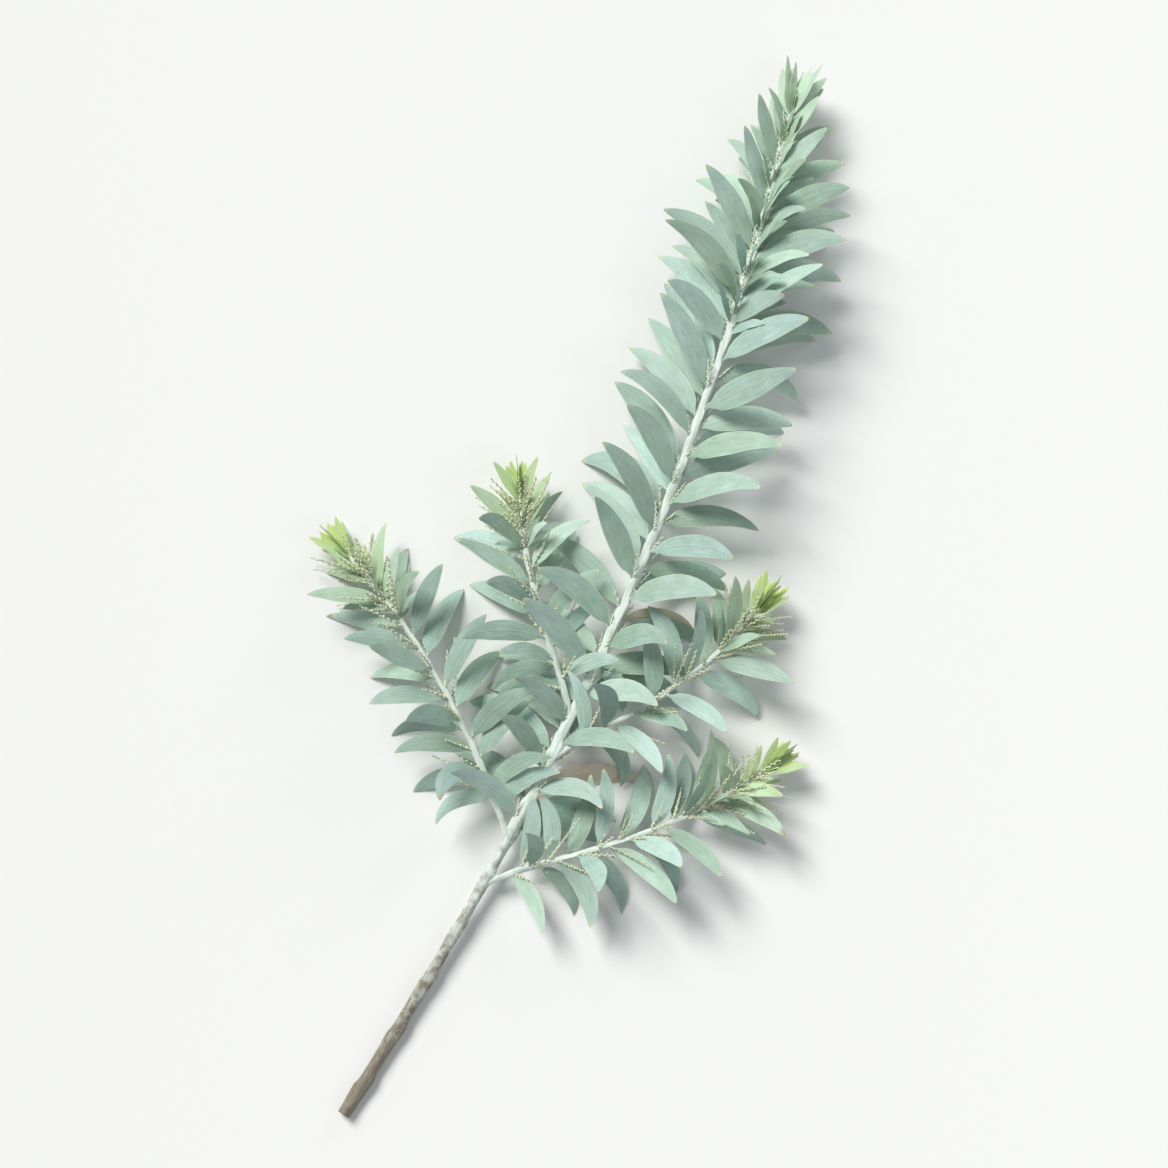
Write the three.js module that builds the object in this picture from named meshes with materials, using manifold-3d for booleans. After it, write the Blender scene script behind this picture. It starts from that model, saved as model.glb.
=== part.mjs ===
// A cut stem of silver-leaved acacia, laid on a table with its growing tip towards +Y.
// Its flat leaves stand edge-on to the twig that carries them, and where one would reach
// below the table it is turned aside until it just touches.
// Millimetres and degrees, +Z up. The table is at Z = 0 and the origin is under the middle.
import * as THREE from "three";
import Module from "manifold-3d";

const wasm = await Module();
wasm.setup();

// The main stem, from the cut end to the tip: the corners of one cubic curve
const STEM_ROUTE = [[-30, -392, 4.16], [24, -154, 4.16], [52, 66, 52], [24, 352, 27]];
const CUT_RADIUS = 4.5;
const STEM_TIP_RADIUS = 1.3;
const STEM_TAPER = 0.85;
const STEM_SIDES = 8;
const STEM_RINGS = 22;
const STEM_LEAVES = 78;
const STEM_LEAF_SPAN = [0.3, 0.99];
const STEM_FIRST_TURN = 30;
const STEM_RACEMES = 24;

// Side shoots: where each leaves the stem, and its curve's corners measured from there
const SIDE_SHOOTS = [
  { from: 0.25, route: [[26, 30, 4], [96, 58, 16], [150, 134, 8]], leafCount: 25, budding: 1 },
  { from: 0.3, route: [[-26, 34, 4], [-80, 96, 18], [-164, 142, 2]], leafCount: 26, budding: 1.4 },
  { from: 0.385, route: [[22, 30, 6], [74, 74, 16], [96, 138, 6]], leafCount: 20, budding: 1 },
  { from: 0.43, route: [[-18, 30, 6], [-60, 72, 12], [-82, 124, 4]], leafCount: 18, budding: 1 },
];
const SHOOT_RADIUS = 1.9;
const SHOOT_TIP_RADIUS = 0.9;
const SHOOT_COLLAR = 1.45;
const COLLAR_REACH = 0.08;
const SHOOT_SIDES = 6;
const SHOOT_RINGS = 9;
const SHOOT_LEAF_SPAN = [0.16, 0.97];
const SHOOT_LEAF_SIZE = 0.78;
const SHOOT_FIRST_TURN = 70;
const SHOOT_RACEMES = 5;

// Leaves. A pair of values is for the lowest leaf of a twig and for the highest
const LEAF_LENGTH = 75;
const LEAF_SLENDERNESS = 0.228;
const LEAF_SWELL = 0.75;
const LEAF_TAPER = 0.85;
const LEAF_THICKNESS = 1.1;
const LEAF_NECK = 0.95;
const LEAF_STATIONS = [0, 0.16, 0.45, 0.78];
const LEAF_LEAN = [56, 40];
const LEAF_BEND = [50, 26];
const BEND_POWER = 1.4;
const RECURVED_SHARE = 0.18;
const RECURVED_BEND = 34;
const SMALLEST_GROWTH = 0.85;
const SPIRAL_STEP = 144;
const SPLAY = 0.66;
const SPACING_POWER = 1.15;
const PATH_STEPS = 50;

// The highest leaves of a twig, which are shorter, straighter and folded towards it
const YOUNG_FROM = 0.8;
const YOUNG_FOLD = 18;
const YOUNG_STRAIGHTENING = 10;
const YOUNG_SHORTENING = 0.34;
const YOUNG_POWER = 1.4;

// How much one leaf differs from the next
const SWAY = { spiral: 14, lean: 8, bend: 20, twist: 20, curl: 24, wave: 14 };
const SHAPE_SWAY = { length: 0.1, width: 0.1, taper: 0.18 };

// The traits that are drawn for each leaf, each with a number of its own
const DRAWN = [
  "spiral", "recurved", "lean", "bend", "twist", "curl", "wave", "length", "width", "taper", "buds",
];

// Young leaves, folded together at each growing tip
const STEM_TIP_BLADES = 13;
const SHOOT_TIP_BLADES = 9;
const TIP_LENGTH = [45, 27];
const TIP_LEAN = [26, 5];
const TIP_BEND = [8, -8];
const TIP_SWAY = 0.4;
const TIP_SPAN = [0.1, 0.9];
const TIP_CORE_LENGTH = 15;
const TIP_CORE_RADII = [1.15, 0.4];

// Sprays of flower buds in the leaf axils
const RACEME_BUDS = [4, 7];
const RACEME_PITCH = 2.6;
const RACEME_FOOT = 2.4;
const RACEME_ZIGZAG = 0.8;
const RACEME_LEANS = [20, 30, 42, 54];
const ABOVE_LEAF = 3;
const BUD_RADII = [1.15, 0.8];
const STALK_RADIUS = 0.5;
const RACEME_SIDES = 3;

// How a leaf is turned up off the table: how far at most, how far at a time, and how finely
const MOST_TURN = 150;
const COARSE_TURN = 6;
const FINE_TURNS = 16;

const GAP = 0.3;
const STRAIGHT_UP = new THREE.Vector3(0, 0, 1);
const LEAF_COLOUR = 0x9fb8ab;
const TIP_COLOUR = 0xb9cf86;
const BUD_COLOUR = 0xdfe3c0;

const radians = THREE.MathUtils.degToRad;
const mix = THREE.MathUtils.lerp;

// A number from 0 to 1 that is always the same for one twig, one leaf and one of its traits.
function chance(twig, leaf, trait) {
  const keys = [twig + 1, leaf + 1, DRAWN.indexOf(trait) + 1];
  let h = Math.imul(keys[0], 73856093) ^ Math.imul(keys[1], 19349663) ^ Math.imul(keys[2], 83492791);
  h = Math.imul(h ^ (h >>> 15), 2246822519);
  h = Math.imul(h ^ (h >>> 13), 3266489917);
  return ((h ^ (h >>> 16)) >>> 0) / 2 ** 32;
}

// A trait's sway from its usual value, by up to its size either way.
function sway(twig, leaf, trait) {
  return (2 * chance(twig, leaf, trait) - 1) * { ...SWAY, ...SHAPE_SWAY }[trait];
}

// A vector made of shares of other vectors.
function blend(...pairs) {
  return pairs.reduce((sum, [vector, share]) => sum.addScaledVector(vector, share), new THREE.Vector3());
}

function cross(a, b) {
  return new THREE.Vector3().crossVectors(a, b);
}

// A solid from points and triangles.
function solid(points, triangles) {
  const vertProperties = new Float32Array(points.flatMap((p) => [p.x, p.y, p.z]));
  const triVerts = new Uint32Array(triangles);
  return new wasm.Manifold(new wasm.Mesh({ numProp: 3, vertProperties, triVerts }));
}

// A closed skin over rings of points that all have the same count, with a fan on each end.
function loft(rings) {
  const sides = rings[0].length;
  const triangles = [];
  for (let row = 0; row + 1 < rings.length; row++) {
    for (let k = 0; k < sides; k++) {
      const a = row * sides + k;
      const b = row * sides + ((k + 1) % sides);
      triangles.push(a, b, a + sides, b, b + sides, a + sides);
    }
  }
  const last = (rings.length - 1) * sides;
  for (let k = 1; k + 1 < sides; k++) {
    triangles.push(0, k + 1, k);
    triangles.push(last, last + k, last + k + 1);
  }
  return solid(rings.flat(), triangles);
}

// One solid from many, joined two by two.
function join(solids) {
  let round = solids;
  while (round.length > 1) {
    const next = [];
    for (let k = 0; k < round.length; k += 2) {
      next.push(k + 1 < round.length ? round[k].add(round[k + 1]) : round[k]);
    }
    round = next;
  }
  return round[0];
}

// A place on a twig: the point, and the directions along it, to its right and up from it.
function placeOn(twig, t) {
  const along = twig.curve.getTangent(t);
  const right = cross(along, STRAIGHT_UP).normalize();
  return { point: twig.curve.getPoint(t), along, right, up: cross(right, along) };
}

// The direction away from a twig at an angle round it, 0 being up and 90 to the right.
function outward({ up, right }, angle) {
  return blend([up, Math.cos(radians(angle))], [right, Math.sin(radians(angle))]);
}

// A twig's own wood as a tapering prism along its curve, thickened all over by an allowance.
function wood(twig, allowance) {
  const rings = [];
  for (let row = 0; row <= twig.rings; row++) {
    const t = row / twig.rings;
    const place = placeOn(twig, t);
    const ring = [];
    for (let k = 0; k < twig.sides; k++) {
      const angle = (360 * (k + 0.5)) / twig.sides;
      ring.push(blend([place.point, 1], [outward(place, angle), twig.radius(t) + allowance]));
    }
    rings.push(ring);
  }
  return loft(rings);
}

// A leaf's width, as a share of its widest, at a place from its root at 0 to its tip at 1.
function leafShape(u, taper) {
  const widest = LEAF_SWELL / (LEAF_SWELL + taper);
  return (u / widest) ** LEAF_SWELL * ((1 - u) / (1 - widest)) ** taper;
}

// What one leaf is like. Its age is 0 for the lowest leaf of the twig and 1 for the highest.
function leafTraits(twig, index, age) {
  const by = (trait) => sway(twig.id, index, trait);
  const spiral = twig.firstTurn + SPIRAL_STEP * index + by("spiral");
  const wrapped = THREE.MathUtils.euclideanModulo(spiral + 180, 360) - 180;
  const young = Math.max(0, (age - YOUNG_FROM) / (1 - YOUNG_FROM)) ** YOUNG_POWER;
  const recurved = chance(twig.id, index, "recurved") < RECURVED_SHARE ? RECURVED_BEND * (1 - young) : 0;
  const growth = mix(SMALLEST_GROWTH, 1, Math.sin(Math.PI * age)) - YOUNG_SHORTENING * young;
  return {
    turn: (wrapped < 0 ? -1 : 1) * (90 + (Math.abs(wrapped) - 90) * SPLAY),
    lean: mix(...LEAF_LEAN, age) + by("lean") - YOUNG_FOLD * young,
    bend: mix(...LEAF_BEND, age) + by("bend") + recurved - YOUNG_STRAIGHTENING * young,
    twist: by("twist"),
    curl: by("curl"),
    wave: by("wave"),
    length: LEAF_LENGTH * twig.leafSize * growth * (1 + by("length")),
    slenderness: LEAF_SLENDERNESS * (1 + by("width")),
    taper: LEAF_TAPER + by("taper"),
  };
}

// The same for one young leaf of a growing tip, from the outermost at 0 to the inmost at 1.
function tipTraits(core, index, age) {
  const by = (trait) => TIP_SWAY * sway(core.id, index, trait);
  return {
    turn: core.firstTurn + SPIRAL_STEP * index + by("spiral"),
    lean: mix(...TIP_LEAN, age) + by("lean"),
    bend: mix(...TIP_BEND, age) + by("bend"),
    twist: by("twist"),
    curl: by("curl"),
    wave: by("wave"),
    length: mix(...TIP_LENGTH, age) * core.leafSize * (1 + by("length")),
    slenderness: LEAF_SLENDERNESS,
    taper: LEAF_TAPER,
  };
}

// The middle line of a leaf, its width and its face at every step from root to tip. It starts
// on the twig's own middle line, leans out from the twig, and bends and twists as it goes.
function leafPath({ point, along, right, up }, leaf) {
  const out = outward({ up, right }, leaf.turn);
  const flat = cross(along, out);
  const here = point.clone();
  const path = [];
  for (let step = 0; step <= PATH_STEPS; step++) {
    const u = step / PATH_STEPS;
    const lean = radians(leaf.lean + leaf.bend * u ** BEND_POWER);
    const wave = radians(leaf.wave * u * u);
    const twist = radians(leaf.twist + leaf.curl * u);
    const level = blend([along, Math.cos(lean)], [out, Math.sin(lean)]);
    const ahead = blend([level, Math.cos(wave)], [flat, Math.sin(wave)]);
    const across = blend([along, -Math.sin(lean)], [out, Math.cos(lean)]);
    const width = blend([across, Math.cos(twist)], [cross(ahead, across), Math.sin(twist)]);
    path.push({ here: here.clone(), width, face: cross(ahead, width) });
    here.addScaledVector(ahead, leaf.length / PATH_STEPS);
  }
  return path;
}

// The corners of a leaf: four round each station, and one at the tip.
function leafCorners(path, leaf, allowance) {
  const corners = [];
  const thick = LEAF_THICKNESS / 2 + allowance;
  for (const u of LEAF_STATIONS) {
    const { here, width, face } = path[Math.round(u * PATH_STEPS)];
    const shape = (leafShape(u, leaf.taper) * leaf.slenderness * leaf.length) / 2;
    const half = Math.max(LEAF_NECK, shape) + allowance;
    corners.push(blend([here, 1], [width, -half]), blend([here, 1], [face, -thick]));
    corners.push(blend([here, 1], [width, half]), blend([here, 1], [face, thick]));
  }
  corners.push(path[PATH_STEPS].here);
  return corners;
}

// A leaf as a thin solid with a ridge along each face, split alike on both faces, from its
// first station or from a later one.
function leafSolid(corners, first) {
  const rows = LEAF_STATIONS.length - first;
  const triangles = [0, 2, 1, 0, 3, 2];
  for (let row = 0; row + 1 < rows; row++) {
    const [left, under, right, over] = [0, 1, 2, 3].map((k) => 4 * row + k);
    const [left2, under2, right2, over2] = [4, 5, 6, 7].map((k) => 4 * row + k);
    triangles.push(left, under, left2, under, under2, left2);
    triangles.push(under, right, right2, under, right2, under2);
    triangles.push(right, over, right2, over, over2, right2);
    triangles.push(over, left, left2, over, left2, over2);
  }
  const end = 4 * (rows - 1);
  for (let k = 0; k < 4; k++) {
    triangles.push(end + k, end + ((k + 1) % 4), 4 * rows);
  }
  return solid(corners.slice(4 * first), triangles);
}

// The leaf turned up until its lowest corner just touches the table, if it reached below it.
function settle(place, leaf) {
  const height = (turn) => {
    const turned = { ...leaf, turn };
    return Math.min(...leafCorners(leafPath(place, turned), turned, 0).map((p) => p.z));
  };
  let below = leaf.turn;
  let above = leaf.turn;
  while (height(above) < 0 && Math.abs(leaf.turn - above) < MOST_TURN) {
    below = above;
    above -= Math.sign(leaf.turn) * COARSE_TURN;
  }
  for (let step = 0; step < FINE_TURNS && below !== above; step++) {
    const middle = (below + above) / 2;
    if (height(middle) < 0) below = middle;
    else above = middle;
  }
  return { ...leaf, turn: above };
}

// The ways in which a leaf may give way to what is there already, the smallest change first.
function* leafChanges() {
  for (const size of [1, 0.84, 0.7]) {
    for (const lift of [0, 9, -9]) {
      for (const turn of [0, 9, -9, 18, -18, 27, -27, 38, -38]) {
        yield { size, lift, turn };
      }
    }
  }
}

// All that is placed so far, each piece with the twig or spray that it belongs to. Its free
// part, if it has one, is what must also stay clear of other free parts on the same twig.
const placed = [];

function remember(owner, whole, free = null) {
  placed.push({ owner, whole, free, box: whole.boundingBox() });
}

function runsInto(a, b) {
  return a.intersect(b).volume() > 1e-6;
}

function isClear(owner, whole, free = null) {
  const box = whole.boundingBox();
  return placed.every((other) => {
    if ([0, 1, 2].some((k) => box.min[k] > other.box.max[k])) return true;
    if ([0, 1, 2].some((k) => other.box.min[k] > box.max[k])) return true;
    if (other.owner !== owner) return !runsInto(whole, other.whole);
    return !(free && other.free && runsInto(free, other.free));
  });
}

// One leaf, changed as little as keeps it clear, or null where no change does. A leaf of a
// growing tip is crowded: it may press against the others there.
function growLeaf(twig, t, traits, crowded) {
  const place = placeOn(twig, t);
  for (const { size, lift, turn } of leafChanges()) {
    const leaf = settle(place, {
      ...traits,
      length: traits.length * size,
      lean: traits.lean + lift,
      turn: traits.turn + turn,
    });
    const path = leafPath(place, leaf);
    const room = leafCorners(path, leaf, GAP);
    if (!isClear(twig.name, leafSolid(room, 0), crowded ? null : leafSolid(room, 1))) continue;
    const corners = leafCorners(path, leaf, 0);
    remember(twig.name, leafSolid(corners, 0), crowded ? null : leafSolid(corners, 1));
    return leafSolid(corners, 0);
  }
  return null;
}

// Where on its twig a leaf of this age grows, as a share of the twig's length.
function leafPlace(twig, age) {
  return mix(...twig.leafSpan, 1 - (1 - age) ** SPACING_POWER);
}

function growLeaves(twig) {
  const leaves = [];
  for (let index = 0; index < twig.leafCount; index++) {
    const age = index / (twig.leafCount - 1);
    leaves.push(growLeaf(twig, leafPlace(twig, age), leafTraits(twig, index, age), false));
  }
  return leaves.filter(Boolean);
}

// The young leaves of a growing tip, round a slim core that sits on the end of the twig.
function growTip(twig) {
  const { point, along } = placeOn(twig, 1);
  const start = blend([point, 1], [along, GAP]);
  const end = blend([start, 1], [along, TIP_CORE_LENGTH * twig.leafSize]);
  const core = {
    name: twig.tipName,
    id: SIDE_SHOOTS.length + 1 + twig.id,
    curve: new THREE.LineCurve3(start, end),
    radius: (t) => mix(...TIP_CORE_RADII, t),
    sides: SHOOT_SIDES,
    rings: 1,
    firstTurn: twig.firstTurn,
    leafSize: twig.leafSize,
  };
  const parts = [wood(core, 0)];
  remember(core.name, parts[0]);
  for (let index = 0; index < twig.tipBlades; index++) {
    const age = index / (twig.tipBlades - 1);
    parts.push(growLeaf(core, mix(...TIP_SPAN, age), tipTraits(core, index, age), true));
  }
  return join(parts.filter(Boolean));
}

// A spray of flower buds: a slim stalk that bends from side to side, with a bud at every bend.
function racemeSolid({ start, ahead, aside, buds }, allowance) {
  const aslant = cross(ahead, aside);
  const rings = [];
  const addRing = (along, swing, radius) => {
    const centre = blend([start, 1], [ahead, along], [aside, swing]);
    const ring = [];
    for (let k = 0; k < RACEME_SIDES; k++) {
      const angle = radians((360 * k) / RACEME_SIDES);
      const reach = radius + allowance;
      ring.push(blend([centre, 1], [aside, reach * Math.cos(angle)], [aslant, reach * Math.sin(angle)]));
    }
    rings.push(ring);
  };
  addRing(0, 0, STALK_RADIUS);
  addRing(RACEME_FOOT, 0, STALK_RADIUS);
  for (let bud = 0; bud < buds; bud++) {
    const along = RACEME_FOOT + bud * RACEME_PITCH;
    const swing = bud % 2 ? -RACEME_ZIGZAG : RACEME_ZIGZAG;
    addRing(along + RACEME_PITCH / 2, swing, mix(...BUD_RADII, bud / (buds - 1)));
    addRing(along + RACEME_PITCH, 0, STALK_RADIUS);
  }
  return loft(rings);
}

// The ways in which a spray may lean out of its axil, the likeliest first.
function* racemeChanges() {
  for (const size of [1, 0.75, 0.5]) {
    for (const turn of [0, 14, -14, 28, -28, 44, -44]) {
      for (const lean of RACEME_LEANS) {
        yield { size, turn, lean };
      }
    }
  }
}

// The spray in the axil of one leaf, or null where it can't be clear of all the rest.
function growRaceme(twig, name, index) {
  const age = index / (twig.leafCount - 1);
  const t = leafPlace(twig, age) + ABOVE_LEAF / twig.curve.getLength();
  const place = placeOn(twig, t);
  const surface = twig.radius(t) * Math.cos(Math.PI / twig.sides);
  const buds = mix(...RACEME_BUDS, chance(twig.id, index, "buds")) * twig.budding;
  for (const { size, turn, lean } of racemeChanges()) {
    const out = outward(place, leafTraits(twig, index, age).turn + turn);
    const ahead = blend([place.along, Math.cos(radians(lean))], [out, Math.sin(radians(lean))]);
    const spray = {
      start: blend([place.point, 1], [out, surface + GAP + STALK_RADIUS]),
      ahead,
      aside: cross(ahead, out).normalize(),
      buds: Math.max(3, Math.round(buds * size)),
    };
    const room = racemeSolid(spray, GAP);
    if (room.boundingBox().min[2] < 0 || !isClear(name, room)) continue;
    remember(name, racemeSolid(spray, 0));
    return racemeSolid(spray, 0);
  }
  return null;
}

// The sprays of one twig, spread over its leaves, each in the next axil that has room for it.
function growRacemes(twig, countSoFar) {
  const sprays = [];
  const step = twig.leafCount / twig.racemeCount;
  for (let k = 0; k < twig.racemeCount; k++) {
    const name = `bud_raceme_${String(countSoFar + sprays.length + 1).padStart(2, "0")}`;
    const first = Math.floor((k + 0.5) * step);
    for (let index = first; index < Math.min(first + step, twig.leafCount - 1); index++) {
      const made = growRaceme(twig, name, index);
      if (!made) continue;
      sprays.push({ name, made });
      break;
    }
  }
  return sprays;
}

function mainStem() {
  return {
    name: "main_stem",
    tipName: "main_tip",
    id: 0,
    curve: new THREE.CubicBezierCurve3(...STEM_ROUTE.map((corner) => new THREE.Vector3(...corner))),
    radius: (t) => mix(CUT_RADIUS, STEM_TIP_RADIUS, t ** STEM_TAPER),
    sides: STEM_SIDES,
    rings: STEM_RINGS,
    firstTurn: STEM_FIRST_TURN,
    leafCount: STEM_LEAVES,
    leafSpan: STEM_LEAF_SPAN,
    leafSize: 1,
    tipBlades: STEM_TIP_BLADES,
    racemeCount: STEM_RACEMES,
    budding: 1,
  };
}

// A side shoot, which swells into a collar where it meets the stem.
function sideShoot(stem, plan, number) {
  const start = stem.curve.getPoint(plan.from);
  const corners = plan.route.map((corner) => start.clone().add(new THREE.Vector3(...corner)));
  const collar = (t) => mix(SHOOT_COLLAR, 1, Math.min(1, t / COLLAR_REACH));
  return {
    ...plan,
    name: `side_shoot_${number}`,
    tipName: `shoot_tip_${number}`,
    id: number,
    curve: new THREE.CubicBezierCurve3(start, ...corners),
    radius: (t) => mix(SHOOT_RADIUS, SHOOT_TIP_RADIUS, t) * collar(t),
    sides: SHOOT_SIDES,
    rings: SHOOT_RINGS,
    firstTurn: SHOOT_FIRST_TURN * number,
    leafSpan: SHOOT_LEAF_SPAN,
    leafSize: SHOOT_LEAF_SIZE,
    tipBlades: SHOOT_TIP_BLADES,
    racemeCount: Math.round(SHOOT_RACEMES * plan.budding),
  };
}

function meshOf(name, made, color, roughness) {
  const { numProp, vertProperties, triVerts } = made.getMesh();
  const corners = new THREE.InterleavedBuffer(vertProperties, numProp);
  const geometry = new THREE.BufferGeometry();
  geometry.setAttribute("position", new THREE.InterleavedBufferAttribute(corners, 3, 0));
  geometry.setIndex(new THREE.BufferAttribute(triVerts, 1));
  const mesh = new THREE.Mesh(geometry, new THREE.MeshStandardMaterial({ color, roughness, metalness: 0 }));
  mesh.name = name;
  return mesh;
}

const stem = mainStem();
const twigs = [stem, ...SIDE_SHOOTS.map((plan, k) => sideShoot(stem, plan, k + 1))];
const plant = new THREE.Group();
for (const twig of twigs) {
  remember(twig.name, wood(twig, 0));
}
for (const twig of twigs) {
  plant.add(meshOf(twig.tipName, growTip(twig), TIP_COLOUR, 0.7));
}
const stemRoom = wood(stem, GAP);
for (const twig of twigs) {
  const grown = join([wood(twig, 0), ...growLeaves(twig)]);
  plant.add(meshOf(twig.name, twig === stem ? grown : grown.subtract(stemRoom), LEAF_COLOUR, 0.75));
}
let racemeTotal = 0;
for (const twig of twigs) {
  const sprays = growRacemes(twig, racemeTotal);
  racemeTotal += sprays.length;
  for (const { name, made } of sprays) {
    plant.add(meshOf(name, made, BUD_COLOUR, 0.8));
  }
}

export default plant;
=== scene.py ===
"""Looks of a cut stem of silver-leaved acacia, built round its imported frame.

The stem lies on a floor at Z = 0 with its growing tip towards +Y. Every leaf and every spray
of buds is found on the frame's own mesh, and the fine one grows in the same place. Sizes are
in metres. A share runs from 0 at the root of a twig, leaf or spray to 1 at its tip.
"""
import logging
import math
from collections.abc import Callable, Sequence
from dataclasses import dataclass, field, replace
from enum import Enum
from functools import cache

import bmesh
import bpy
import numpy as np
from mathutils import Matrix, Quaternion, Vector


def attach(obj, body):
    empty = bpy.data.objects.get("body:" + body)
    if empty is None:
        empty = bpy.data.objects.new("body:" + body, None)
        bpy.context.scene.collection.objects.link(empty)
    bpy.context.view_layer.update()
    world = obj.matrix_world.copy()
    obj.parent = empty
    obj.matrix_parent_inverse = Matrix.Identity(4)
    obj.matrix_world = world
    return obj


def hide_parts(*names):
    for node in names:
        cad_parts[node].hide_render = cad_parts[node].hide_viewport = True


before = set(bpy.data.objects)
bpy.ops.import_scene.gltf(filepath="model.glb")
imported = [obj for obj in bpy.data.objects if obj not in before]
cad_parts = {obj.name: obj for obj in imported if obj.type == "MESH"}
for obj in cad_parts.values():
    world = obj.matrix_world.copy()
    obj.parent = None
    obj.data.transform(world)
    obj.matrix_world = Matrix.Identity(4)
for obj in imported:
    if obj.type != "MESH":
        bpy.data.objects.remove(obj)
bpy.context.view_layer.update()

Array = np.ndarray
Colour = tuple[float, float, float]
Material = bpy.types.Material
Node = bpy.types.Node
Piece = bpy.types.Object
Place = tuple[float, float, float]
Random = np.random.Generator
Seat = tuple[float, float]  # a share of the twig, and a side as an angle
Socket = bpy.types.NodeSocket
Span = tuple[float, float]

BODY = "root"
STRAIGHT_UP = np.array([0.0, 0.0, 1.0])
NEAR = 1e-5
log = logging.getLogger("acacia_stem")

# The twigs' middle lines, each the four corners of a cubic curve, as the frame has them. A side
# shoot starts at a share of the stem, and its other corners are given from there.
STEM_ROUTE = (
    (-0.030, -0.392, 0.00416), (0.024, -0.154, 0.00416), (0.052, 0.066, 0.052), (0.024, 0.352, 0.027),
)
SHOOT_ROUTES = (
    (0.25, ((0.026, 0.030, 0.004), (0.096, 0.058, 0.016), (0.150, 0.134, 0.008))),
    (0.30, ((-0.026, 0.034, 0.004), (-0.080, 0.096, 0.018), (-0.164, 0.142, 0.002))),
    (0.385, ((0.022, 0.030, 0.006), (0.074, 0.074, 0.016), (0.096, 0.138, 0.006))),
    (0.43, ((-0.018, 0.030, 0.006), (-0.060, 0.072, 0.012), (-0.082, 0.124, 0.004))),
)

# How the frame's own leaves are cut: their thickness, their rings of corners from the tip, how
# exactly the corners of a ring lie, and the two powers of their outline
FRAME_LEAF_THICKNESS = 0.0011
FRAME_LEAF_RINGS = (0.78, 0.45, 0.16)
RING_SLACK = 6e-5
THICKNESS_SLACK = 3e-5
LEAF_SWELL = 0.75
LEAF_TAPER = 0.85

# How much finer a leaf's fibres are across it than along it, with both counted from -1 or 0 to 1
FIBRE_FINENESS = 1.7


class Slot(Enum):
    """The record's material slots."""

    LEAFY = "leafy_stem"
    YOUNG = "young_leaves"
    BUDS = "flower_buds"


class Growth(Enum):
    """How grown a leaf is."""

    MATURE = "mature"
    YOUNG = "young"


class Part(Enum):
    """What edit mode selects of a mesh."""

    CORNERS = "VERT"
    FACES = "FACE"


class LampKind(Enum):
    """The kinds of light."""

    SQUARE = "AREA"
    FAR = "SUN"


def unit(vectors: Array) -> Array:
    """Vectors, one a row or one alone, scaled to a length of 1."""
    return vectors / np.linalg.norm(vectors, axis=-1, keepdims=True)


def through(shares: Array, values: Array, wanted: Array) -> tuple[Array, Array]:
    """The smoothest curve through a few points, which is one polynomial.

    Args:
        shares: Where the points are.
        values: The points, one a row.
        wanted: Where the curve is asked for.

    Returns:
        The curve there, and its slope there.
    """
    order = len(shares) - 1
    fits = [np.polynomial.Polynomial.fit(shares, column, order, domain=[0, 1]) for column in values.T]
    rows = [curve(wanted) for curve in fits]
    slopes = [curve.deriv()(wanted) for curve in fits]
    return np.stack(rows, axis=-1), np.stack(slopes, axis=-1)


def leaf_outline(share: Array) -> Array:
    """Half of a leaf's width at a share of its length, as a share of its widest half."""
    widest = LEAF_SWELL / (LEAF_SWELL + LEAF_TAPER)
    return (share / widest) ** LEAF_SWELL * ((1 - share) / (1 - widest)) ** LEAF_TAPER


@dataclass(frozen=True)
class Twig:
    """A twig's middle line and the thickness of its wood."""

    name: str
    corners: Array
    root_radius: float
    end_radius: float
    taper: float = 1.0
    collar: float = 1.0
    collar_reach: float = 0.08
    core_radii: Span = (0.00115, 0.0004)
    core_overlap: float = 0.002
    steps: int = 200
    fine_steps: int = 1200

    @property
    def length(self) -> float:
        """The length of the middle line."""
        line = self.point(np.linspace(0, 1, self.steps))
        return float(np.linalg.norm(np.diff(line, axis=0), axis=1).sum())

    def point(self, share: Array) -> Array:
        """Points of the middle line.

        Args:
            share: Where on the twig.

        Returns:
            The points.
        """
        t = np.asarray(share, float)[..., None]
        a, b, c, d = self.corners
        return (1 - t) ** 3 * a + 3 * (1 - t) ** 2 * t * b + 3 * (1 - t) * t**2 * c + t**3 * d

    def axes(self, share: Array) -> tuple[Array, Array, Array]:
        """The directions along the twig, to its right and up from it.

        Args:
            share: Where on the twig.

        Returns:
            Three sets of unit vectors.
        """
        t = np.asarray(share, float)[..., None]
        a, b, c, d = self.corners
        along = unit((1 - t) ** 2 * (b - a) + 2 * (1 - t) * t * (c - b) + t**2 * (d - c))
        right = unit(np.cross(along, STRAIGHT_UP))
        return along, right, np.cross(right, along)

    def radius(self, share: Array) -> Array:
        """The wood's radius at some shares of the twig."""
        slim = self.root_radius + (self.end_radius - self.root_radius) * share**self.taper
        return slim * (self.collar + (1 - self.collar) * np.minimum(1, share / self.collar_reach))

    def beside(self, share: float, side: float, off: float) -> Array:
        """A place off the middle line, on a side given as an angle from straight up to the right."""
        _, right, up = self.axes(np.array(share))
        return self.point(np.array(share)) + (right * math.sin(side) + up * math.cos(side)) * off

    def nearest(self, place: Array) -> float:
        """The share at which the middle line comes nearest to a place."""
        shares = np.linspace(0, 1, self.fine_steps)
        return float(shares[np.argmin(np.linalg.norm(self.point(shares) - place, axis=1))])

    def core(self, reach: float) -> "Twig":
        """The straight line on which the growing tip's young leaves stand.

        Args:
            reach: How far it goes past the twig's end.

        Returns:
            It as a twig of its own.
        """
        along, _, _ = self.axes(np.array(1.0))
        steps = np.linspace(-self.core_overlap, reach, len(self.corners))[:, None]
        return Twig(f"{self.name}_core", self.corners[-1] + steps * along, *self.core_radii)


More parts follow.
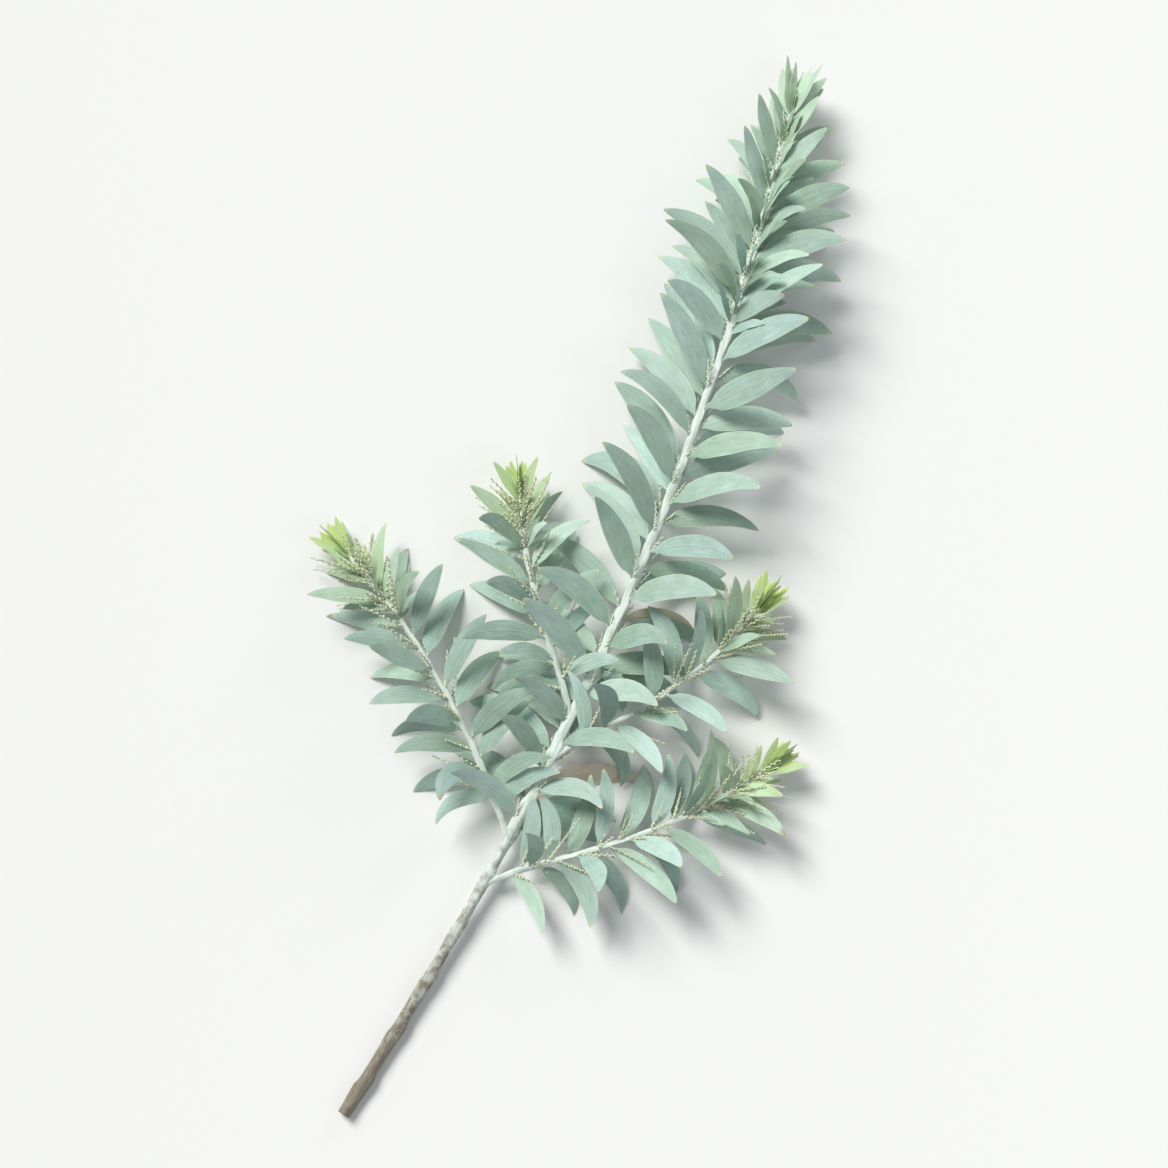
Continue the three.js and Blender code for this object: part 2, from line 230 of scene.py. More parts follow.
@dataclass(frozen=True)
class LeafRing:
    """Four corners round a leaf of the frame: two at its edges and two on its faces."""

    corners: frozenset[int]
    centre: Array
    width: Array
    half: float


@dataclass(frozen=True)
class NodeMesh:
    """A node of the frame with its loose triangles joined at their corners."""

    points: Array
    neighbours: list[set[int]]

    @classmethod
    def read(cls, node: str) -> "NodeMesh":
        """Reads a node's mesh, which is left as it is.

        Args:
            node: The node's name.

        Returns:
            Its corners, and the corners next to each.
        """
        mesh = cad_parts[node].data
        places = np.empty(3 * len(mesh.vertices), np.float32)
        mesh.vertices.foreach_get("co", places)
        points, same = np.unique(places.reshape(-1, 3).round(7), axis=0, return_inverse=True)
        mesh.calc_loop_triangles()
        neighbours: list[set[int]] = [set() for _ in points]
        for triangle in mesh.loop_triangles:
            corners = {int(same.reshape(-1)[k]) for k in triangle.vertices}
            for corner in corners:
                neighbours[corner] |= corners - {corner}
        return cls(points.astype(float), neighbours)

    def ring(self, corners: set[int]) -> LeafRing | None:
        """The ring that four corners make, if they are a leaf's.

        Args:
            corners: Corners of the mesh.

        Returns:
            The ring, or None where the corners aren't one.
        """
        if len(corners) != 4:
            return None
        first, *others = sorted(corners)
        for other in others:
            rest = [k for k in others if k != other]
            for face, edge in (((first, other), rest), (rest, (first, other))):
                over, under = self.points[list(face)]
                left, right = self.points[list(edge)]
                level = np.linalg.norm(over + under - left - right) < RING_SLACK
                if level and abs(np.linalg.norm(over - under) - FRAME_LEAF_THICKNESS) < THICKNESS_SLACK:
                    half = np.linalg.norm(right - left) / 2
                    return LeafRing(frozenset(corners), (left + right) / 2, unit(right - left), half)
        return None

    def leaves(self) -> list[tuple[Array, list[LeafRing]]]:
        """Finds the leaves.

        Returns:
            Each leaf's tip, with its rings from the tip down as far as they stand free.
        """
        found = []
        for tip, around in enumerate(self.neighbours):
            rings = []
            known = {tip}
            corners = around
            while len(rings) < len(FRAME_LEAF_RINGS) and (ring := self.ring(corners)):
                rings.append(ring)
                known |= corners
                corners = set().union(*(self.neighbours[k] for k in ring.corners)) - known
            if rings:
                found.append((self.points[tip], rings))
        return found


@dataclass(frozen=True)
class Blade:
    """The form of one leaf: its middle line, which way it is wide, and how wide."""

    shares: Array
    centres: Array
    ring_shares: Array
    widths: Array
    halves: Array
    seat: float
    side: float

    @classmethod
    def grow(cls, tip: Array, rings: Sequence[LeafRing], twig: Twig) -> "Blade":
        """Follows a leaf from its tip through its rings to the twig.

        Args:
            tip: The leaf's tip.
            rings: Its rings, from the tip down.
            twig: What it grows from.

        Returns:
            The blade.
        """
        ring_shares = np.array(FRAME_LEAF_RINGS[: len(rings)])
        shares = np.array([1.0, *ring_shares])
        centres = np.array([tip, *(ring.centre for ring in rings)])
        guess, _ = through(shares, centres, np.array(0.0))
        seat = twig.nearest(guess)
        root = twig.point(seat)
        along, right, up = twig.axes(seat)
        away = rings[-1].centre - root
        widths = np.array([ring.width for ring in rings])
        widths *= -np.sign(widths @ along)[:1]
        widths *= np.sign(widths @ widths[0])[:, None]
        halves = np.array([ring.half for ring in rings]) / leaf_outline(ring_shares)
        return cls(
            np.array([*shares, 0.0]), np.array([*centres, root]), ring_shares, widths, halves,
            seat, math.atan2(away @ right, away @ up),
        )

    def place(self, share: Array, across: Array, lift: Array) -> Array:
        """Puts points of the flat leaf on this one.

        Args:
            share: Where along the leaf.
            across: How far across, 1 being half of the leaf's widest.
            lift: How far off its middle face.

        Returns:
            The points, one a row.
        """
        centre, ahead = through(self.shares, self.centres, share)
        width, _ = through(self.ring_shares, self.widths, share)
        ahead = unit(ahead)
        width = unit(width - (width * ahead).sum(axis=1, keepdims=True) * ahead)
        half = np.interp(share, self.ring_shares[::-1], self.halves[::-1])
        return centre + width * (across * half)[:, None] + np.cross(width, ahead) * lift[:, None]

    def inner(self, twig: Twig, turn: float, size: float) -> "Blade":
        """A smaller blade like this one, further round the twig.

        Args:
            twig: The twig, or the growing tip's core.
            turn: How far round, in radians.
            size: How large beside this one.

        Returns:
            The inner blade.
        """
        root = self.centres[-1]
        along, _, _ = twig.axes(self.seat)
        spin = np.array(Quaternion(Vector(along), turn).to_matrix())
        centres = root + size * (self.centres - root) @ spin.T
        widths = self.widths @ spin.T
        return replace(self, centres=centres, widths=widths, halves=size * self.halves, side=self.side + turn)


def deselect() -> None:
    """Leaves nothing selected, so that the next operator acts on its own piece alone."""
    bpy.ops.object.select_all(action="DESELECT")


def add(operator: Callable[..., set[str]], name: str, **settings: object) -> Piece:
    """Adds an object.

    Args:
        operator: The operator that adds it.
        name: The object's name.
        settings: The operator's settings.

    Returns:
        The object, selected alone.
    """
    deselect()
    operator(**settings)
    made = bpy.context.object
    made.name = name
    return made


def pick(piece: Piece, part: Part, test: Callable[[bmesh.types.BMVert], bool]) -> None:
    """Selects, in edit mode, only the parts of a piece whose every corner passes a test.

    Args:
        piece: The piece, in edit mode.
        part: What is selected.
        test: What each corner has to pass.
    """
    bpy.ops.mesh.select_mode(type=part.value)
    bpy.ops.mesh.select_all(action="DESELECT")
    net = bmesh.from_edit_mesh(piece.data)
    if part is Part.CORNERS:
        for corner in net.verts:
            corner.select_set(test(corner))
    else:
        for face in net.faces:
            face.select_set(all(test(corner) for corner in face.verts))
    net.select_flush_mode()
    bmesh.update_edit_mesh(piece.data)


def corners_of(piece: Piece) -> Array:
    """Reads a piece's corners.

    Args:
        piece: The piece.

    Returns:
        The corners, one a row.
    """
    places = np.empty(3 * len(piece.data.vertices), np.float32)
    piece.data.vertices.foreach_get("co", places)
    return places.reshape(-1, 3).astype(float)


def put_corners(piece: Piece, places: Array) -> None:
    """Moves a piece's corners to new places, none of them under the floor.

    Args:
        piece: The piece.
        places: The new places, one a row.
    """
    above = np.maximum(places, (-np.inf, -np.inf, NEAR))
    piece.data.vertices.foreach_set("co", above.astype(np.float32).ravel())
    piece.data.update()


def put_attribute(piece: Piece, name: str, values: Array) -> None:
    """Gives each corner of a piece three numbers that its finish reads.

    Args:
        piece: The piece.
        name: The attribute's name.
        values: Three numbers for each corner, one corner a row.
    """
    known = piece.data.attributes
    attribute = known.get(name) or known.new(name, "FLOAT_VECTOR", "POINT")
    attribute.data.foreach_set("vector", values.astype(np.float32).ravel())


def copy_of(master: Piece) -> Piece:
    """Copies a master piece.

    Args:
        master: The master.

    Returns:
        The copy, with a mesh of its own.
    """
    made = master.copy()
    made.data = master.data.copy()
    bpy.context.scene.collection.objects.link(made)
    return made


def join(parts: Sequence[Piece], name: str, smooth_deg: float, *materials: Material) -> Piece:
    """Makes one piece of many, smooth but for its sharp edges.

    Args:
        parts: The pieces, which are used up.
        name: The new piece's name.
        smooth_deg: Edges sharper than this stay sharp.
        materials: The new piece's materials, in the order of the numbers that its faces have.

    Returns:
        The new piece.
    """
    deselect()
    for part in parts:
        part.select_set(True)
    bpy.context.view_layer.objects.active = parts[0]
    if len(parts) > 1:
        bpy.ops.object.join()
    bpy.ops.object.shade_smooth_by_angle(angle=math.radians(smooth_deg))
    made = bpy.context.object
    made.name = name
    made.data.name = name
    for material in materials:
        made.data.materials.append(material)
    return made


def settle(piece: Piece, slot: Slot, *nodes: str) -> None:
    """Says what a finished piece stands for and rides on.

    Args:
        piece: The finished piece.
        slot: The record's slot; not used.
        nodes: The frame's nodes that it stands for.
    """
    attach(piece, BODY)
    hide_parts(*nodes)
    log.info("%s: %d faces, for %s", piece.name, len(piece.data.polygons), ", ".join(nodes))


@dataclass
class Sheet:
    """A sheet of shader nodes that is being filled."""

    tree: bpy.types.NodeTree

    def add(self, kind: str, inputs: dict[str | int, object] | None = None, **settings: object) -> Node:
        """Adds a node.

        Args:
            kind: The node's type, without its ShaderNode.
            inputs: Values or other nodes' outputs, by the name or number of the input.
            settings: The node's own settings.

        Returns:
            The node.
        """
        node = self.tree.nodes.new(f"ShaderNode{kind}")
        for name, value in settings.items():
            setattr(node, name, value)
        for name, value in (inputs or {}).items():
            self.feed(node.inputs[name], value)
        return node

    def feed(self, target: Socket, value: object) -> None:
        """Gives an input a value, or links it to another node's output.

        Args:
            target: The input.
            value: A number, a colour or an output.
        """
        if isinstance(value, Socket):
            self.tree.links.new(value, target)
        elif isinstance(value, tuple) and target.type == "RGBA":
            target.default_value = (*value, 1.0)
        else:
            target.default_value = value

    def maths(self, operation: str, *values: object, clamp: bool = False) -> Socket:
        """The result of one sum on one to three values."""
        inputs = dict(enumerate(values))
        return self.add("Math", inputs, operation=operation, use_clamp=clamp).outputs[0]

    def span(
        self, value: Socket, low: float, high: float, to_low: float = 0.0, to_high: float = 1.0
    ) -> Socket:
        """A value carried smoothly from one span to another, and held at its ends."""
        inputs = {"Value": value, "From Min": low, "From Max": high, "To Min": to_low, "To Max": to_high}
        return self.add("MapRange", inputs, interpolation_type="SMOOTHSTEP").outputs[0]

    def mix(self, share: object, first: object, second: object, blend: str = "MIX") -> Socket:
        """A share of one colour mixed into another."""
        inputs = {0: share, 6: first, 7: second}
        return self.add("Mix", inputs, data_type="RGBA", blend_type=blend).outputs[2]

    def paint(self, base: object, where: Socket, depth: float, colour: Colour) -> Socket:
        """A colour painted over another where a mask says so, and no deeper than a depth."""
        return self.mix(self.maths("MULTIPLY", where, depth), base, colour)

    def noise(self, place: Socket, scale: object, detail: float, roughness: float = 0.5) -> Socket:
        """Soft noise at a place."""
        inputs = {"Vector": place, "Scale": scale, "Detail": detail, "Roughness": roughness}
        return self.add("TexNoise", inputs).outputs[0]

    def combine(self, x: object, y: object, z: object = 0.0) -> Socket:
        """Three numbers as one vector or colour."""
        return self.add("CombineXYZ", {0: x, 1: y, 2: z}).outputs[0]

    def attribute(self, name: str) -> tuple[Socket, Socket, Socket, Socket]:
        """An attribute of the piece as a vector, then its three numbers."""
        vector = self.add("Attribute", attribute_name=name).outputs["Vector"]
        return vector, *self.add("SeparateXYZ", {0: vector}).outputs


@dataclass(frozen=True)
class SharedEffect:
    """A node group that more than one finish uses."""

    name: str
    inputs: dict[str, str]
    outputs: dict[str, str]
    fill: Callable[[Sheet, Node], dict[str, Socket]]

    def tree(self) -> bpy.types.NodeTree:
        """Builds the group the first time that it is asked for.

        Returns:
            The group.
        """
        if self.name in bpy.data.node_groups:
            return bpy.data.node_groups[self.name]
        tree = bpy.data.node_groups.new(self.name, "ShaderNodeTree")
        for way, sockets in (("INPUT", self.inputs), ("OUTPUT", self.outputs)):
            for name, kind in sockets.items():
                tree.interface.new_socket(name, in_out=way, socket_type=f"NodeSocket{kind}")
        sheet = Sheet(tree)
        made = self.fill(sheet, tree.nodes.new("NodeGroupInput"))
        target = tree.nodes.new("NodeGroupOutput")
        for name, socket in made.items():
            sheet.feed(target.inputs[name], socket)
        return tree

    def on(self, sheet: Sheet, *values: object) -> Sequence[Socket]:
        """Places the group in a material.

        Args:
            sheet: The material's nodes.
            values: What its inputs are given, in their order.

        Returns:
            Its outputs, in their order.
        """
        node = sheet.tree.nodes.new("ShaderNodeGroup")
        node.node_tree = self.tree()
        for target, value in zip(node.inputs, values, strict=True):
            sheet.feed(target, value)
        return node.outputs


def fill_mottle(sheet: Sheet, given: Node) -> dict[str, Socket]:
    """Soft patches, and rare small specks, over a surface.

    Args:
        sheet: The group's nodes.
        given: The group's inputs.

    Returns:
        The group's outputs.
    """
    place, patches, specks, amount = (given.outputs[name] for name in MOTTLE.inputs)
    soft = sheet.noise(place, patches, detail=4.0, roughness=0.55)
    cells = sheet.add("TexVoronoi", {"Vector": place, "Scale": specks, "Randomness": 1.0})
    drawn = sheet.add("SeparateColor", {0: cells.outputs["Color"]}).outputs[0]
    chosen = sheet.maths("LESS_THAN", drawn, amount)
    dot = sheet.span(cells.outputs["Distance"], low=0.26, high=0.12)
    return {"Patch": sheet.span(soft, low=0.36, high=0.64), "Speck": sheet.maths("MULTIPLY", dot, chosen)}


def fill_nerves(sheet: Sheet, given: Node) -> dict[str, Socket]:
    """A leaf's midrib, side nerves, fibres and thick margin.

    Args:
        sheet: The group's nodes.
        given: The group's inputs.

    Returns:
        The group's outputs.
    """
    along, across, pairs, slant = (given.outputs[name] for name in NERVES.inputs)
    aside = sheet.maths("ABSOLUTE", across)
    fading = sheet.span(along, low=1.0, high=0.55, to_low=0.35)
    rib = sheet.maths("MULTIPLY", sheet.span(aside, low=0.13, high=0.02), fading)
    slanted = sheet.maths("MULTIPLY", aside, slant)
    phase = sheet.maths("SUBTRACT", sheet.maths("MULTIPLY", along, pairs), slanted)
    wobble = sheet.noise(sheet.combine(along, across), scale=6.0, detail=2.0)
    wave = sheet.maths("SINE", sheet.maths("MULTIPLY", sheet.maths("ADD", phase, wobble), math.tau))
    inside = sheet.span(aside, low=0.96, high=0.8)
    drawn_out = sheet.combine(along, sheet.maths("MULTIPLY", across, FIBRE_FINENESS))
    fibres = sheet.noise(drawn_out, scale=4.0, detail=4.0, roughness=0.65)
    return {
        "Midrib": rib,
        "Nerves": sheet.maths("MULTIPLY", sheet.span(wave, low=0.62, high=1.0), inside),
        "Fibres": sheet.span(fibres, low=0.3, high=0.7),
        "Margin": sheet.span(aside, low=0.9, high=0.985),
    }


def fill_streaks(sheet: Sheet, given: Node) -> dict[str, Socket]:
    """Streaks that run along a twig, at a place given round it and along it.

    Args:
        sheet: The group's nodes.
        given: The group's inputs.

    Returns:
        The group's outputs.
    """
    place, fineness, stretch = (given.outputs[name] for name in STREAKS.inputs)
    squeeze = sheet.combine(1.0, 1.0, stretch)
    drawn = sheet.add("VectorMath", {0: place, 1: squeeze}, operation="MULTIPLY").outputs[0]
    soft = sheet.noise(drawn, fineness, detail=5.0, roughness=0.6)
    return {"Streak": sheet.span(soft, low=0.36, high=0.66)}


MOTTLE = SharedEffect(
    "mottle",
    {"Place": "Vector", "Patches": "Float", "Specks": "Float", "Speck amount": "Float"},
    {"Patch": "Float", "Speck": "Float"},
    fill_mottle,
)
NERVES = SharedEffect(
    "leaf_nerves",
    {"Along": "Float", "Across": "Float", "Pairs": "Float", "Slant": "Float"},
    {"Midrib": "Float", "Nerves": "Float", "Fibres": "Float", "Margin": "Float"},
    fill_nerves,
)
STREAKS = SharedEffect(
    "streaks",
    {"Place": "Vector", "Fineness": "Float", "Stretch": "Float"},
    {"Streak": "Float"},
    fill_streaks,
)


@dataclass(frozen=True)
class Finish:
    """What all of this plant's finishes have in common: dull, softly downy surfaces."""

    name: str
    sheen: float = 0.14
    sheen_roughness: float = 0.5
    sheen_tint: Colour = (0.86, 0.94, 0.92)
    shine: float = 0.35
    bump: float = 0.5
    relief: float = 0.0003
    roughness: float = 0.66
    roughened: float = 0.1

    @cache
    def material(self) -> Material:
        """Makes the material, the first time that it is asked for.

        Returns:
            The material.
        """
        material = bpy.data.materials.new(self.name)
        material.use_nodes = True
        sheet = Sheet(material.node_tree)
        shader = material.node_tree.nodes["Principled BSDF"]
        constants = {
            "Sheen Weight": self.sheen, "Sheen Roughness": self.sheen_roughness,
            "Sheen Tint": self.sheen_tint, "Specular IOR Level": self.shine,
        }
        for name, value in constants.items():
            sheet.feed(shader.inputs[name], value)
        colour, rough, height = self.surface(sheet)
        sheet.feed(shader.inputs["Base Color"], colour)
        rough = sheet.maths("MULTIPLY_ADD", rough, self.roughened, self.roughness)
        sheet.feed(shader.inputs["Roughness"], rough)
        bump = sheet.add("Bump", {"Strength": self.bump, "Distance": self.relief, "Height": height})
        sheet.feed(shader.inputs["Normal"], bump.outputs[0])
        return material

    def surface(self, sheet: Sheet) -> tuple[Socket, Socket, Socket]:
        """The colour, what changes the roughness, and the height, all over the surface."""
        raise NotImplementedError


@dataclass(frozen=True)
class LeafFinish(Finish):
    """A leaf: silver bloom over green, with faint nerves, a pale margin and a few spots."""

    roughness: float = 0.64
    roughened: float = -0.12
    bloom: Colour = (0.50, 0.675, 0.655)
    flesh: Colour = (0.09, 0.20, 0.09)
    fresh: Colour = (0.53, 0.66, 0.12)
    rib: Colour = (0.42, 0.54, 0.44)
    margin: Colour = (0.62, 0.68, 0.40)
    point: Colour = (0.44, 0.32, 0.16)
    dry: Colour = (0.74, 0.60, 0.48)
    scorch: Colour = (0.24, 0.14, 0.09)
    smudge: Colour = (0.36, 0.31, 0.26)
    mottle: tuple[float, float, float] = (85.0, 420.0, 0.045)
    smudge_size: float = 130.0
    smudge_span: Span = (0.58, 0.74)
    smudge_depth: float = 0.3
    speck_depth: float = 0.5
    thin_bloom: float = -0.02
    bare: float = 0.26
    patchy: float = 0.14
    green_root: float = 0.18
    green_root_ends: float = 0.75
    leaf_spread: float = 0.36
    leaf_middle: float = 0.4
    pairs: float = 16.0
    slant: float = 3.0
    nerve_depth: float = 0.14
    rib_depth: float = 0.38
    margin_depth: float = 0.5
    tip_span: Span = (0.94, 0.985)
    tip_depth: float = 0.6
    point_span: Span = (0.985, 0.995)
    scorched_tips: float = 0.04
    scorched_span: Span = (0.935, 0.985)
    scorched_depth: float = 0.65
    ragged: float = 0.06
    withered_span: Span = (1.1, 2.4)
    rib_rise: float = 0.8
    nerve_rise: float = 0.24
    fibre_rise: float = 0.3

    def surface(self, sheet: Sheet) -> tuple[Socket, Socket, Socket]:
        """The leaf's changing looks.

        Args:
            sheet: Where the nodes go.

        Returns:
            The colour, what changes the roughness, and the height.
        """
        _, along, across, number = sheet.attribute("leaf_place")
        _, youth, shade, dryness = sheet.attribute("leaf_tint")
        place = sheet.add("TexCoord").outputs["Object"]
        chance = sheet.add("TexWhiteNoise", {"W": number}, noise_dimensions="1D").outputs["Value"]
        patch, speck = MOTTLE.on(sheet, place, *self.mottle)
        midrib, nerve, fibres, margin = NERVES.on(sheet, along, across, self.pairs, self.slant)
        soft = sheet.noise(place, self.smudge_size, detail=6.0, roughness=0.62)
        blots = sheet.span(soft, *self.smudge_span)
        bareness = self.bareness(sheet, along, patch, fibres, chance)
        colour = sheet.mix(youth, sheet.mix(bareness, self.bloom, self.flesh), self.fresh)
        marks = (
            (nerve, self.nerve_depth, self.rib),
            (midrib, self.rib_depth, self.rib),
            (margin, self.margin_depth, self.margin),
            (speck, self.speck_depth, self.scorch),
            (blots, self.smudge_depth, self.smudge),
        )
        for where, depth, paint in marks:
            colour = sheet.paint(colour, where, depth, paint)
        colour = sheet.mix(1.0, colour, sheet.combine(shade, shade, shade), "MULTIPLY")
        colour = sheet.paint(colour, sheet.span(along, *self.tip_span), self.tip_depth, self.margin)
        colour = self.wither(sheet, colour, along, patch, chance, dryness)
        colour = sheet.mix(sheet.span(along, *self.point_span), colour, self.point)
        height = sheet.maths("MULTIPLY", nerve, self.nerve_rise)
        height = sheet.maths("MULTIPLY_ADD", midrib, self.rib_rise, height)
        return colour, patch, sheet.maths("MULTIPLY_ADD", fibres, self.fibre_rise, height)

    def bareness(
        self, sheet: Sheet, along: Socket, patch: Socket, fibres: Socket, chance: Socket
    ) -> Socket:
        """How thin the bloom is, so that the green shows: in patches, near the root, and by leaf.

        Args:
            sheet: Where the nodes go.
            along: How far along the leaf.
            patch: Soft patches.
            fibres: Streaks along the leaf.
            chance: The leaf's own number from 0 to 1.

        Returns:
            The share of green.
        """
        fibrous = sheet.maths("MULTIPLY", fibres, self.bare)
        worn = sheet.maths("MULTIPLY_ADD", patch, self.patchy, fibrous, clamp=True)
        thickest, thinnest = self.thin_bloom, self.thin_bloom + self.green_root
        worn = sheet.maths("ADD", worn, sheet.span(along, self.green_root_ends, 0.0, thickest, thinnest))
        own = sheet.maths("SUBTRACT", chance, self.leaf_middle)
        return sheet.maths("MULTIPLY_ADD", own, self.leaf_spread, worn, clamp=True)

    def wither(
        self, sheet: Sheet, colour: Socket, along: Socket, patch: Socket, chance: Socket, dryness: Socket
    ) -> Socket:
        """Turns a dried leaf brown, and the tip of a leaf here and there.

        Args:
            sheet: Where the nodes go.
            colour: The leaf's colour.
            along: How far along the leaf.
            patch: Soft patches, which make the brown ragged.
            chance: The leaf's own number from 0 to 1.
            dryness: How far it has dried.

        Returns:
            The colour with its brown.
        """
        reach = sheet.maths("MULTIPLY_ADD", patch, self.ragged, along)
        chosen = sheet.maths("LESS_THAN", chance, self.scorched_tips)
        burnt = sheet.maths("MULTIPLY", sheet.span(reach, *self.scorched_span), chosen)
        burnt = sheet.maths("MULTIPLY", burnt, self.scorched_depth)
        deep = sheet.span(sheet.maths("ADD", patch, along), *self.withered_span)
        brown = sheet.mix(deep, self.dry, self.scorch)
        return sheet.mix(sheet.maths("MAXIMUM", dryness, burnt), colour, brown)


@dataclass(frozen=True)
class BarkFinish(Finish):
    """Bark: silver down on the young wood, brown and painted shade in the axils, grey-brown where it is old.
    """

    roughness: float = 0.68
    roughened: float = 0.15
    down: Colour = (0.80, 0.90, 0.85)
    under: Colour = (0.34, 0.40, 0.29)
    old: Colour = (0.30, 0.265, 0.205)
    crack: Colour = (0.10, 0.075, 0.05)
    scar: Colour = (0.17, 0.105, 0.06)
    # The axil colour is partly the bark's own brown and partly painted shade, where each leaf meets the stem
    axil_brown_and_shade: Colour = (0.23, 0.16, 0.09)
    broad_grain: Span = (800.0, 0.09)
    fine_grain: Span = (2400.0, 0.06)
    mottle: tuple[float, float, float] = (160.0, 900.0, 0.12)
    under_depth: float = 0.36
    axil_span: Span = (0.95, 1.75)
    axil_depth: float = 0.8
    crack_depth: float = 0.6
    patchy: float = 0.35
    age_span: Span = (0.15, 0.95)
    scar_depth: float = 0.6
    speck_depth: float = 0.35
    broad_rise: float = -0.8
    fine_rise: float = 0.5

    def surface(self, sheet: Sheet) -> tuple[Socket, Socket, Socket]:
        """The bark's changing looks.

        Args:
            sheet: Where the nodes go.

        Returns:
            The colour, what changes the roughness, and the height.
        """
        place, *_ = sheet.attribute("bark_place")
        _, age, scar, axil_brown_and_shade = sheet.attribute("bark_marks")
        broad = STREAKS.on(sheet, place, *self.broad_grain)[0]
        fine = STREAKS.on(sheet, place, *self.fine_grain)[0]
        patch, speck = MOTTLE.on(sheet, place, *self.mottle)
        young = sheet.paint(self.down, broad, self.under_depth, self.under)
        # Painted shade, partly also the bark's own brown: the axil above each leaf's foot is darkened
        browned_and_shaded = sheet.span(sheet.maths("ADD", axil_brown_and_shade, fine), *self.axil_span)
        young = sheet.paint(young, browned_and_shaded, self.axil_depth, self.axil_brown_and_shade)
        aged = sheet.paint(self.old, fine, self.crack_depth, self.crack)
        edge = sheet.maths("MULTIPLY_ADD", sheet.maths("SUBTRACT", patch, 0.5), self.patchy, age)
        colour = sheet.mix(sheet.span(edge, *self.age_span), young, aged)
        colour = sheet.paint(colour, scar, self.scar_depth, self.scar)
        colour = sheet.paint(colour, speck, self.speck_depth, self.down)
        height = sheet.maths("MULTIPLY", fine, self.fine_rise)
        return colour, fine, sheet.maths("MULTIPLY_ADD", broad, self.broad_rise, height)


@dataclass(frozen=True)
class CutWoodFinish(Finish):
    """The sawn end: pale wood in faint rings and a softer pith."""

    roughness: float = 0.75
    wood: Colour = (0.62, 0.50, 0.32)
    ring: Colour = (0.44, 0.31, 0.17)
    pith: Colour = (0.40, 0.30, 0.19)
    grain: Span = (2600.0, 1.0)
    rings: float = 7000.0
    ring_span: Span = (0.2, 1.0)
    depth: float = 0.35
    pith_span: Span = (0.0009, 0.0006)

    def surface(self, sheet: Sheet) -> tuple[Socket, Socket, Socket]:
        """The cut wood's changing looks.

        Args:
            sheet: Where the nodes go.

        Returns:
            The colour, what changes the roughness, and the height.
        """
        place, x, y, _ = sheet.attribute("bark_place")
        squares = sheet.maths("MULTIPLY_ADD", x, x, sheet.maths("MULTIPLY", y, y))
        reach = sheet.maths("SQRT", squares)
        grain = STREAKS.on(sheet, place, *self.grain)[0]
        rings = sheet.span(sheet.maths("SINE", sheet.maths("MULTIPLY", reach, self.rings)), *self.ring_span)
        colour = sheet.paint(self.wood, rings, self.depth, self.ring)
        colour = sheet.paint(colour, grain, self.depth, self.ring)
        return sheet.mix(sheet.span(reach, *self.pith_span), colour, self.pith), grain, grain


@dataclass(frozen=True)
class BudFinish(Finish):
    """Buds, their stalks and their scales: cream-green balls on green stalks, with brown scales and painted
    shade between the knobs of the balls.
    """

    pale: Colour = (0.80, 0.85, 0.68)
    stalk: Colour = (0.66, 0.74, 0.62)
    ripe: Colour = (0.86, 0.86, 0.46)
    # Painted shade in the gaps between a bud head's knobs; the same colour also paints the real dark specks
    crevice_shade_and_speck: Colour = (0.30, 0.32, 0.16)
    scale: Colour = (0.40, 0.29, 0.18)
    mottle: tuple[float, float, float] = (420.0, 900.0, 0.06)
    knobs: float = 2600.0
    gap_shade_span: Span = (0.4, 0.8)
    gap_shade_depth: float = 0.35
    speck_depth: float = 0.4

    def surface(self, sheet: Sheet) -> tuple[Socket, Socket, Socket]:
        """The buds' changing looks.

        Args:
            sheet: Where the nodes go.

        Returns:
            The colour, what changes the roughness, and the height.
        """
        _, head, ripeness, scale = sheet.attribute("bud_tint")
        place = sheet.add("TexCoord").outputs["Object"]
        cells = sheet.add("TexVoronoi", {"Vector": place, "Scale": self.knobs}).outputs["Distance"]
        patch, speck = MOTTLE.on(sheet, place, *self.mottle)
        colour = sheet.mix(head, self.stalk, self.pale)
        colour = sheet.mix(sheet.maths("MULTIPLY", ripeness, patch), colour, self.ripe)
        # Painted shade: the gaps between the knobs of a bud head are darkened with the crevice colour
        gap_shade = sheet.maths("MULTIPLY", sheet.span(cells, *self.gap_shade_span), head)
        colour = sheet.paint(colour, gap_shade, self.gap_shade_depth, self.crevice_shade_and_speck)
        colour = sheet.paint(colour, speck, self.speck_depth, self.crevice_shade_and_speck)
        height = sheet.maths("SUBTRACT", 1.0, sheet.maths("MULTIPLY", cells, head))
        return sheet.mix(scale, colour, self.scale), patch, height


@dataclass(frozen=True)
class FloorFinish(Finish):
    """A plain pale studio floor."""

    sheen: float = 0.0
    roughness: float = 0.8
    roughened: float = 0.05
    paper: Colour = (0.86, 0.87, 0.87)
    shade: Colour = (0.8, 0.8, 0.8)
    clouds: float = 3.0
    depth: float = 0.03

    def surface(self, sheet: Sheet) -> tuple[Socket, Socket, Socket]:
        """The floor's changing looks.

        Args:
            sheet: Where the nodes go.

        Returns:
            The colour, what changes the roughness, and the height.
        """
        place = sheet.add("TexCoord").outputs["Object"]
        cloud = sheet.noise(place, self.clouds, detail=2.0)
        return sheet.paint(self.paper, cloud, self.depth, self.shade), cloud, cloud


